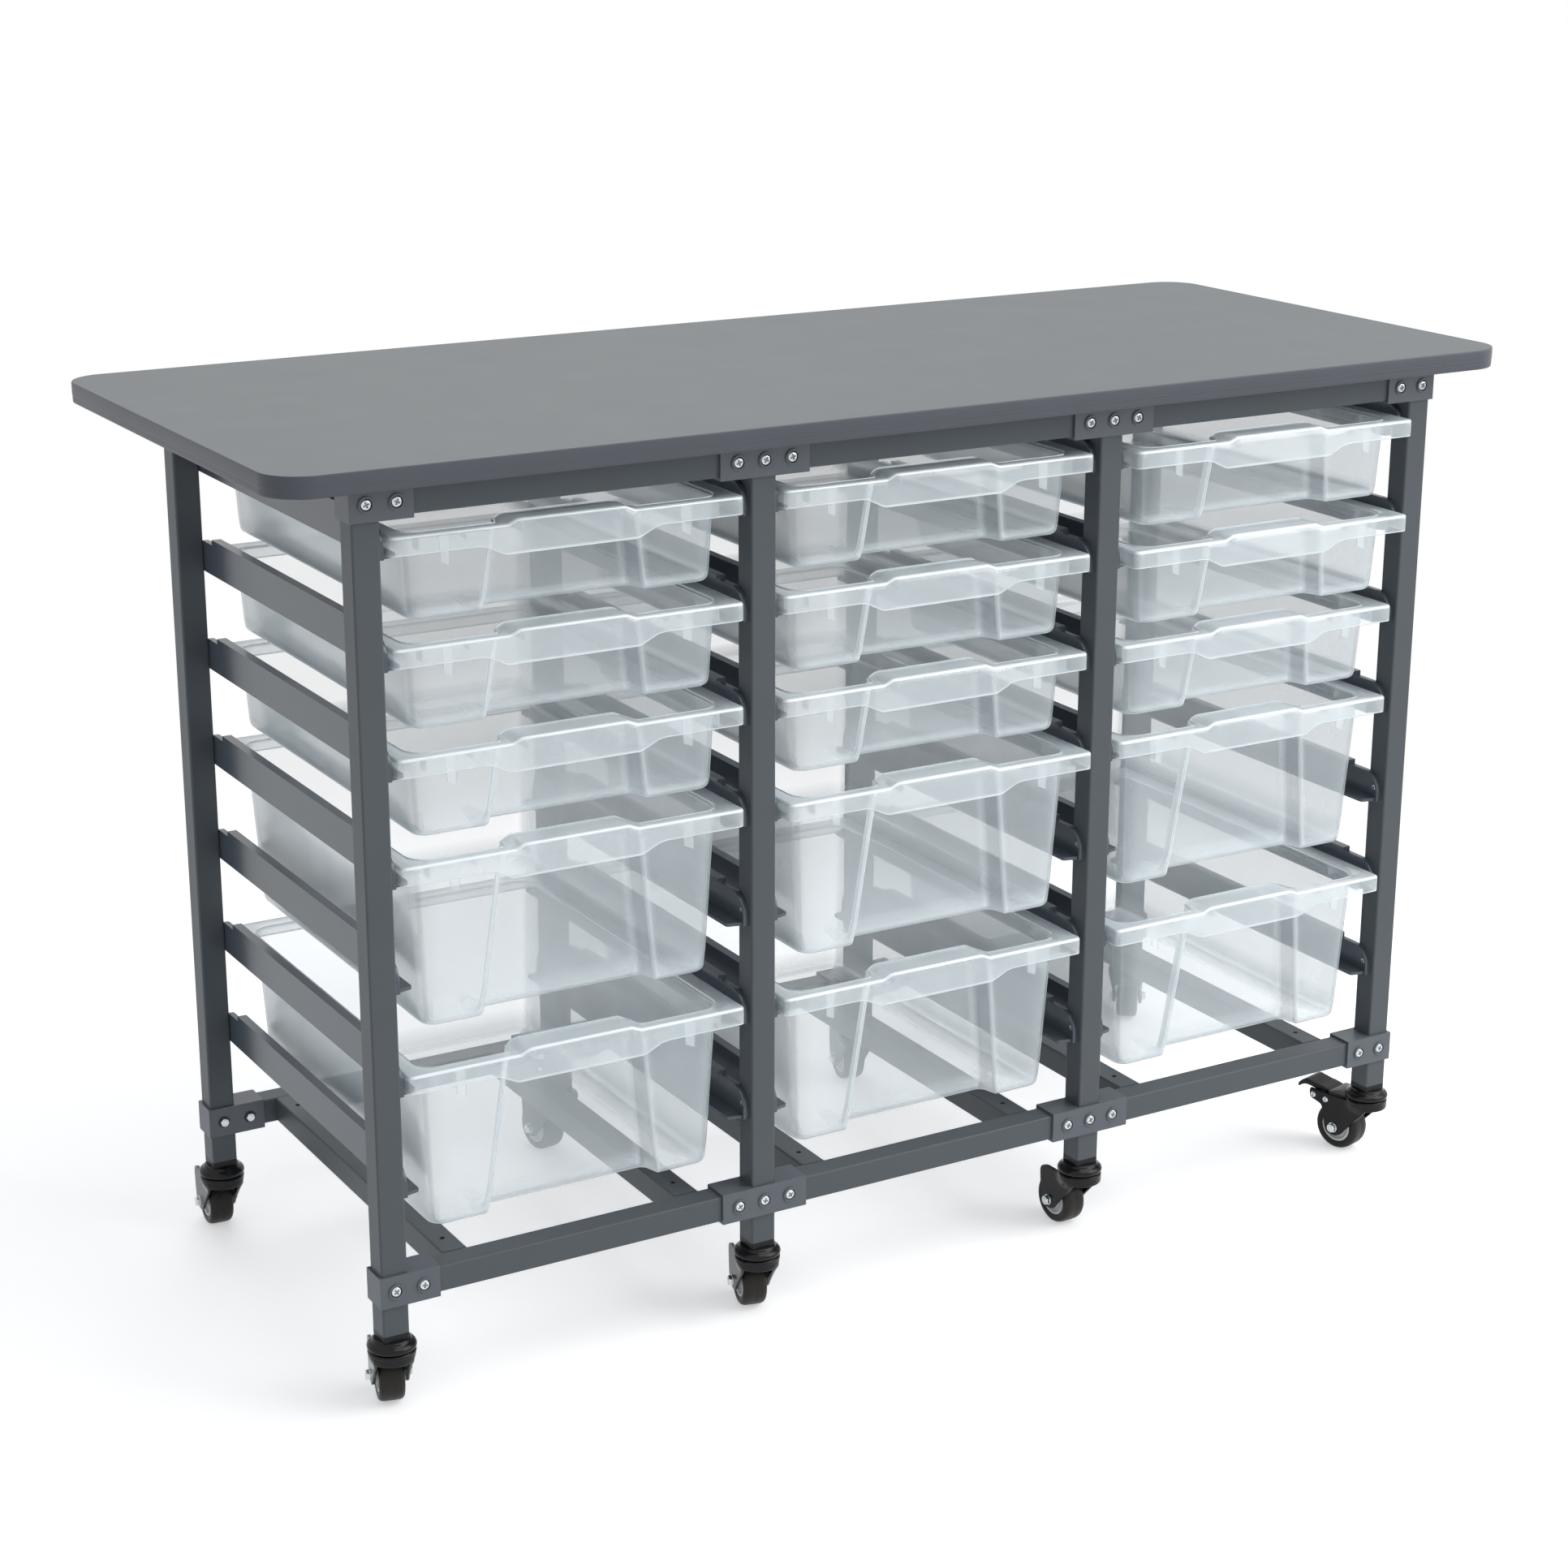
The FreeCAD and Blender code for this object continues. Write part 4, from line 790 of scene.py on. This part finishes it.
# %% Wheel and pedal
TYRE_HALF = [(17.05, 10.9), (19.0, 11.5), (21.0, 11.9), (22.8, 11.6), (24.2, 10.5),
             (25.0, 8.9), (25.35, 6.8), (25.4, 4.0), (25.4, 0.5)]
TYRE_SEAM = [(25.25, 0.0)]
HUB_HALF = [(3.3, 13.3), (5.9, 13.3), (6.5, 12.7), (6.5, 7.6), (7.1, 7.0), (13.9, 7.0),
            (14.5, 7.6), (14.5, 10.5), (14.9, 11.0), (16.5, 11.0), (17.0, 10.5)]


def wheel_ring(half, middle, sides):
    """A ring across the fork from the (radius, out) pairs of one side, mirrored."""
    other = [(radius, -out) for radius, out in half]
    return across_fork(ring(other + middle + half[::-1], sides))


tyre_patch = wheel_ring(TYRE_HALF, TYRE_SEAM, 56)
hub_patch = wheel_ring(HUB_HALF, [], 40)
PEDAL_TOP = ([38, 42, 50, 58, 63, 66, 69, 73, 77, 80],
             [64.6, 65.6, 67.0, 68.4, 69.3, 69.6, 69.2, 66.9, 63.2, 60.2])
PEDAL_THICK = ([38, 44, 52, 68, 76, 80], [3.8, 4.2, 6.2, 6.6, 5.2, 3.4])
PEDAL_HALF, TIP_FROM, TIP_DRAW = 13.5, 75, 3.2
RIDGES_FROM, RIDGES_TO, RIDGE_STEP, RIDGE_DEEP = 50, 65, 3.0, 0.75


def pedal_strip():
    """A rounded section along s, with a bent line, cross ridges on its upper face and a
    rounded tip."""
    places = np.concatenate([np.linspace(38.2, 49, 10), np.linspace(49.6, 65, 52),
                             np.linspace(66, 79.9, 20)])
    top = np.interp(places, *PEDAL_TOP)
    wave = 0.5 - 0.5 * np.cos(2 * math.pi * (places - RIDGES_FROM) / RIDGE_STEP)
    ridges = RIDGE_DEEP * wave * ((places > RIDGES_FROM) & (places < RIDGES_TO))
    thick = np.interp(places, *PEDAL_THICK)
    half = PEDAL_HALF - TIP_DRAW * np.clip((places - TIP_FROM) / 5, 0, 1) ** 2.2
    loops = []
    for s, high, ridge, deep, wide in zip(places, top, ridges, thick, half):
        outline = rounded_loop(rectangle(-wide, wide, high - deep, high - ridge), 0.9, 4,
                               [6, 1, 6, 1])
        loops.append(np.column_stack([np.full(len(outline), s), outline]))
    return capped(loops)


LUG_LINE = [(35.4, 51.8), (44.4, 51.8), (44.4, 64.0), (36.4, 64.0)]
LUG_OUT, LUG_HALF = 12.1, 1.4
lugs = [upright(LUG_LINE, 2.0, side * LUG_OUT - LUG_HALF, side * LUG_OUT + LUG_HALF, 0.5)
        for side in (-1, 1)]
pedal_set = [pedal_strip()] + lugs
print("pedal grid", pedal_set[0].shape)

# %% Casters in place


def caster_piece(caster, name, forms, body, material, hides=None):
    """One piece of a caster from forms drawn about its stem; name, body and the solid
    that it hides are endings of the caster's own name."""
    mesh_piece(caster + name, [under_leg(form, caster) for form in forms], caster + body,
               material, hides=[caster + hides] if hides else [])


for caster in CASTERS:
    braked = caster.endswith("_4")
    shell = brake_fork if braked else plain_fork
    bolts = axle_set + (rivet_set if braked else [])
    caster_piece(caster, "_pressed_fork", shell, "_swivel", STEEL_BLACK,
                 "_fork")
    caster_piece(caster, "_axle_bolt", bolts, "_swivel", ZINC)
    caster_piece(caster, "_rubber_tyre", [tyre_patch], "_wheel", TYRE, "_tyre")
    caster_piece(caster, "_moulded_hub", [hub_patch], "_wheel", HUB, "_hub")
    if braked:
        caster_piece(caster, "_ridged_pedal", pedal_set, "_brake_pedal", BLACK,
                     "_brake_pedal")
print("casters dressed")

# %% [markdown]
# ## Softened mouldings
# Moulded parts never have knife edges: each edge has a small round that catches a line of
# light. So for connectors, runners and leg inserts a weld joins the solid's loose
# triangles, a planar dissolve makes each flat face one face, and a narrow bevel rounds
# every real edge, while the flat faces stay as they are.

# %% Rounded edges on the solids


FLAT_ANGLE, EDGE_ANGLE = math.radians(0.5), math.radians(38)


def soften(node, width):
    """Round the sharp edges of a carried node by a width in millimetres."""
    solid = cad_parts[node]
    weld = solid.modifiers.new("weld", "WELD")
    weld.merge_threshold = MERGE
    flat = solid.modifiers.new("join_flat_faces", "DECIMATE")
    flat.decimate_type = "DISSOLVE"
    flat.angle_limit = FLAT_ANGLE
    bevel = solid.modifiers.new("round_edges", "BEVEL")
    bevel.width = width * MM
    bevel.segments = 2
    bevel.limit_method = "ANGLE"
    bevel.angle_limit = EDGE_ANGLE
    bevel.harden_normals = True
    bevel.use_clamp_overlap = True


SOFTENED = {"corner_connectors": 0.7, "middle_connectors": 0.7, "left_runners": 0.6,
            "right_runners": 0.6, "leg_inserts": 0.5}
for node, width in SOFTENED.items():
    soften(node, width)
print("softened nodes:", len(SOFTENED))

# %% [markdown]
# ## Cross-head screws
# The connectors are held by bright pan-head screws with a cross recess, sunk in round
# bosses. A head is one grid: rings from the rim up the dome, then the outline of the
# cross, then the sunk floor of the recess. The outline is a radius for each angle: the
# arm's length near the arm, and its half width divided by the sine of the angle between
# the arms. The shade in the sunk seats and in the recesses is painted: a near-black ring
# on the boss round each head and nut, and a dark cross in each recess.

# %% Screw heads


def cross_outline(reach, half, fine=False):
    """A few angles in each quarter turn that meet every corner of a plus shape, and the
    shape's radius at each of them."""
    corner = 1.001 * math.atan2(half, reach)
    key = [-corner, 0.0, corner, math.pi / 4]
    if fine:
        key = [-corner, -corner / 2, 0.0, corner / 2, corner, 0.42, math.pi / 4,
               math.pi / 2 - 0.42]
    angle = (np.arange(4)[:, None] * math.pi / 2 + np.array(key)).ravel()
    folded = np.abs((angle + math.pi / 4) % (math.pi / 2) - math.pi / 4)
    along = reach / np.cos(folded)
    between = half / np.sin(np.maximum(folded, 1e-3))
    return angle, np.where(np.tan(folded) * reach < half, along, between)


def screw_head(radius, high, fine):
    """A pan head upright from z = 0 with a cross recess in its dome. A fine head has
    twice the points round it."""
    angle, edge = cross_outline(0.56 * radius, 0.17 * radius, fine)
    dome = ((1.0, 0), (1.0, 0.35), (0.95, 0.66), (0.84, 0.87), (0.70, 0.98))
    recess = ((1.0, 1.0), (0.86, 0.45), (0.5, 0.25))
    return capped([polar(share * radius, angle, rise * high) for share, rise in dome]
                  + [polar(share * edge, angle, rise * high) for share, rise in recess])


def cross_shade(radius, high):
    """Painted shade for the cross recess: a dark cross that fills it from a quarter to six
    tenths of the head's height, its outline a little narrower."""
    angle, edge = cross_outline(0.53 * radius, 0.15 * radius)
    return capped([polar(edge, angle, share * high) for share in (0.25, 0.60)])


def spun(patch, turn):
    """The patch turned about its own z axis."""
    cosine, sine = math.cos(turn), math.sin(turn)
    return patch @ np.array([[cosine, sine, 0], [-sine, cosine, 0], [0, 0, 1.0]])


SCREW_STEP, SEAT_DEEP, NUT_DEEP = 27.1, 14.3, 15.0
RAIL_HEIGHTS = (126.0, 832.0)
HEAD_RADIUS, HEAD_HIGH = 4.85, 2.1
head = screw_head(HEAD_RADIUS, HEAD_HIGH, True)
cross_recess_shade = cross_shade(HEAD_RADIUS, HEAD_HIGH)
# Painted shade: a thin near-black ring round each head and a wider one round each nut, for
# the shadow in the sunk seats.
head_seat_shade = turned([(5.25, -0.05), (5.25, 0.12), (4.4, 0.12)], 24)
nut_body = hexagon_head(8.0, 3.6, 0.4)
nut_seat_shade = turned([(6.1, -0.05), (6.1, 0.12), (4.0, 0.12)], 24)
heads, seat_shades, cross_shades, nuts = [], [], [], []
for line, facing in ((FRONT_LINE, -1), (REAR_LINE, 1)):
    outward = ((1, 0, 0), (0, 0, -facing), (0, facing, 0))
    inward = ((1, 0, 0), (0, 0, facing), (0, -facing, 0))
    for index, across in enumerate(POST_LINES):
        offsets = [step * SCREW_STEP for step in (-1, 0, 1) if 0 <= index + step / 2 <= 3]
        for height in RAIL_HEIGHTS:
            for offset in offsets:
                turn = math.radians((index * 41 + offset * 1.7 + height) % 90)
                at = (across + offset, line + facing * SEAT_DEEP, height)
                heads.append(laid(spun(head, turn), *outward, at))
                seat_shades.append(laid(head_seat_shade, *outward, at))
                cross_shades.append(laid(spun(cross_recess_shade, turn), *outward, at))
                behind = (across + offset, line - facing * NUT_DEEP, height)
                nuts.append(laid(spun(nut_body, turn / 3), *inward, behind))
                seat_shades.append(laid(nut_seat_shade, *inward, behind))
mesh_piece("cross_head_screws", heads, "frame", ZINC, hides=["connector_screws"],
           smooth=30.0)
# Painted shade: the near-black rings round heads and nuts.
mesh_piece("screw_seat_shades", seat_shades, "frame", PAINTED_SHADE)
# Painted shade: dark zinc crosses in the recesses of the connector screws.
mesh_piece("screw_cross_shades", cross_shades, "frame", SHADED_ZINC)
mesh_piece("hexagon_nuts", nuts, "frame", ZINC, hides=["connector_nuts"])
print(len(heads), "screws of", head.shape[0] * head.shape[1], "points")

# %% Runner screws
LEVEL_TOP, LEVEL_STEP, RUNNER_UP, LEVELS = 785.0, 95.5, 10.3, 7
POST_HALF, RUNNER_WALL = 12.5, 3.0
SMALL_RADIUS, SMALL_HIGH = 3.2, 1.7
small_head = screw_head(SMALL_RADIUS, SMALL_HIGH, False)
small_cross_shade = cross_shade(SMALL_RADIUS, SMALL_HIGH)
# Painted shade: a near-black ring round each runner screw, and a near-black cross in its
# recess.
small_seat_shade = turned([(4.1, 0.02), (4.1, 0.1), (3.3, 0.1)], 16)
small_heads, small_shades = [], []
for bay in range(3):
    for hand, post in ((1, bay), (-1, bay + 1)):
        face = POST_LINES[post] + hand * (POST_HALF + RUNNER_WALL)
        into_bay = ((0, hand, 0), (0, 0, 1), (hand, 0, 0))
        for level in range(LEVELS):
            height = LEVEL_TOP - LEVEL_STEP * level + RUNNER_UP
            for line in (FRONT_LINE, REAR_LINE):
                at = (face, line, height)
                turn = math.radians((bay * 31 + level * 53 + line) % 90)
                small_heads.append(laid(spun(small_head, turn), *into_bay, at))
                small_shades.append(laid(small_seat_shade, *into_bay, at))
                small_shades.append(laid(spun(small_cross_shade, turn), *into_bay, at))
mesh_piece("runner_cross_screws", small_heads, "frame", ZINC, hides=["runner_screws"],
           smooth=30.0)
mesh_piece("runner_screw_shades", small_shades, "frame", PAINTED_SHADE)
print(len(small_heads), "runner screws")

# %% [markdown]
# ## Edge of the worktop
# The board's edge is covered by a moulded band: a flat upper half, a thin raised line,
# and a lower half that stands back a little and rounds under the board. The band is a
# profile carried round the board's outline, and each point of the profile is the same
# outline moved inwards by its own distance.

# %% Edge band
BOARD = rectangle(-650, 650, -270, 270)
BOARD_CORNER = 38.0
BAND_PROFILE = [(1.0, 847.05), (1.2, 847.05), (0.95, 847.1), (0.55, 847.5), (0.35, 848.4),
                (0.28, 850.5), (0.28, 853.2), (0.22, 854.6), (0.02, 855.0), (0.0, 855.35),
                (0.02, 855.7), (0.12, 856.0), (0.06, 856.4), (0.0, 857.0), (0.0, 864.6),
                (0.15, 865.4), (0.45, 865.85), (0.8, 866.0), (1.0, 866.0)]
band_loops = []
for inward, height in BAND_PROFILE + [BAND_PROFILE[0]]:
    loop = rounded_loop(inset(BOARD, inward), BOARD_CORNER - inward, 14, [9, 4, 9, 4])
    band_loops.append(np.column_stack([loop, np.full(len(loop), height)]))
mesh_piece("moulded_edge_band", [np.stack(band_loops)], "frame", BAND,
           hides=["worktop_edge_band"], smooth=60.0)
print("band of", len(band_loops), "loops of", len(band_loops[0]), "points")

# %% [markdown]
# ## Floor, light and camera
# The cart stands on a plain pale floor. Rays from the camera, off gloss and through clear
# surfaces see white around it, while all others meet a faint sky and a pale matt floor
# that bounces soft light under the worktop. The lamps are large and gentle, so that a
# colour renders about as it is written.

# %% White surroundings
SKY_TONE, SKY_STRENGTH, WHITE = (0.93, 0.96, 1.0, 1), 0.46, (1, 1, 1, 1)


def sees_white(tree):
    """One for a ray from the camera, off a glossy surface or through a clear one: the
    largest of the three."""
    rays = add_node(tree, "LightPath", {})
    seen = maths(tree, "MAXIMUM", rays["Is Camera Ray"], rays["Is Glossy Ray"])
    return maths(tree, "MAXIMUM", seen, rays["Is Transmission Ray"])


world = bpy.data.worlds.new("studio")
bpy.context.scene.world = world
world.use_nodes = True
tree = world.node_tree
sky = tree.nodes["Background"]
feed(tree, sky, {"Color": SKY_TONE, "Strength": SKY_STRENGTH})
white = add_node(tree, "Background", {"Color": WHITE, "Strength": 1.0})["Background"]
around = mixed(tree, sees_white(tree), sky.outputs["Background"], white)
feed(tree, tree.nodes["World Output"], {"Surface": around})
print("world ready")

# %% [markdown]
# ## The floor's shadow
# The camera sees the floor as white too, but a floor with no shadow would leave the cart
# floating. So near the cart the white is laid over the lit floor only in part: the share
# that is left keeps the soft dark patches round the casters. Further out, by the distance
# from the cart's middle, the floor fades to plain white and meets the background unseen.

# %% Floor
FLOOR_HALF, FLOOR_GLOW = 12.0, 0.44
FADE_FROM, FADE_TO = 0.75, 1.7


def floor_finish():
    """Pale matt floor with a faint drift of tone, lifted to white for the camera."""
    material = finish("pale_floor", (0.86, 0.87, 0.88), 0.01, 0.75, 0.05, 60, 0.00002)
    tree = material.node_tree
    lit = tree.nodes["Principled BSDF"].outputs["BSDF"]
    faint, full = (add_node(tree, "Emission", {"Color": WHITE, "Strength": glow})["Emission"]
                   for glow in (FLOOR_GLOW, 1.0))
    lifted = add_node(tree, "AddShader", {0: lit, 1: faint})["Shader"]
    place = add_node(tree, "TexCoord", {})["Object"]
    away = add_node(tree, "VectorMath", {0: place}, operation="LENGTH")["Value"]
    fade = add_node(tree, "MapRange", {"Value": away, "From Min": FADE_FROM,
                                       "From Max": FADE_TO}, interpolation_type="SMOOTHSTEP")
    seen = mixed(tree, fade["Result"], lifted, full)
    shown = mixed(tree, sees_white(tree), lit, seen)
    feed(tree, tree.nodes["Material Output"], {"Surface": shown})
    return material


edges = rectangle(-FLOOR_HALF, FLOOR_HALF, -FLOOR_HALF, FLOOR_HALF)
floor_mesh = bpy.data.meshes.new("floor")
floor_mesh.from_pydata([(x, y, 0) for x, y in edges], [], [(0, 1, 2, 3)])
floor = new_object("floor", floor_mesh)
floor_mesh.materials.append(floor_finish())
print("floor", 2 * FLOOR_HALF, "m across")

# %% [markdown]
# ## Lamps
# One broad lamp at the right gives the tubes' front faces their tone, brighter towards
# that side. A lamp overhead lights the floor in front of the cart, and the floor lights
# the lower rails and connectors from below. A third lights the worktop from behind, and
# a faint one fills the left. All are larger than the cart, so no shadow has a hard edge.

# %% Lamps
LAMP_SIZE = 3.0


def lamp(name, at, aim, power, tone):
    """A square area lamp that looks at a point."""
    data = bpy.data.lights.new(name, "AREA")
    data.size, data.energy, data.color = LAMP_SIZE, power, tone
    unit = new_object(name, data)
    gaze = np.array(aim, float) - np.array(at, float)
    gaze /= np.linalg.norm(gaze)
    unit.location = at
    unit.rotation_euler = (math.acos(-gaze[2]), 0, math.atan2(gaze[0], -gaze[1]) + math.pi)


lamp("key_lamp", (2.8, -2.3, 2.5), (0, 0, 0.45), 78, (1.0, 0.99, 0.97))
lamp("fill_lamp", (-3.8, -2.2, 1.8), (0, 0, 0.45), 2, (0.95, 0.98, 1.0))
lamp("back_lamp", (0.4, 2.6, 3.8), (0, 0, 0.5), 40, (1.0, 1.0, 1.0))
lamp("top_lamp", (1.2, -1.5, 3.4), (1.0, -1.4, 0.0), 60, (1.0, 1.0, 1.0))
print("four lamps")

# %% [markdown]
# ## Camera
# The camera stands where the photograph was taken from: the edges of the frame, taken as
# straight lines of known length, give its place, its turn and its lens.

# %% Camera
CAMERA_AT = (-1.5038, -2.5209, 1.3614)
AZIMUTH, DOWN, ROLL = math.radians(30.42), math.radians(17.39), math.radians(-0.158)
LENS, SHIFT = 70.33, (-0.00051, -0.00124)
gaze = np.array([math.sin(AZIMUTH) * math.cos(DOWN), math.cos(AZIMUTH) * math.cos(DOWN),
                 -math.sin(DOWN)])
right = np.array([math.cos(AZIMUTH), -math.sin(AZIMUTH), 0.0])
down = np.cross(gaze, right)
lens = bpy.data.cameras.new("camera")
lens.lens, lens.sensor_width = LENS, 36.0
lens.shift_x, lens.shift_y = SHIFT
camera = new_object("camera", lens)
pose = np.eye(4)
pose[:3, 0] = math.cos(ROLL) * right + math.sin(ROLL) * down
pose[:3, 1] = math.sin(ROLL) * right - math.cos(ROLL) * down
pose[:3, 2] = -gaze
pose[:3, 3] = CAMERA_AT
camera.matrix_world = Matrix(pose.tolist())
bpy.context.scene.camera = camera
bpy.context.scene.view_settings.view_transform = "Standard"
bpy.context.scene.cycles.transparent_max_bounces = 64
print("camera at", CAMERA_AT)
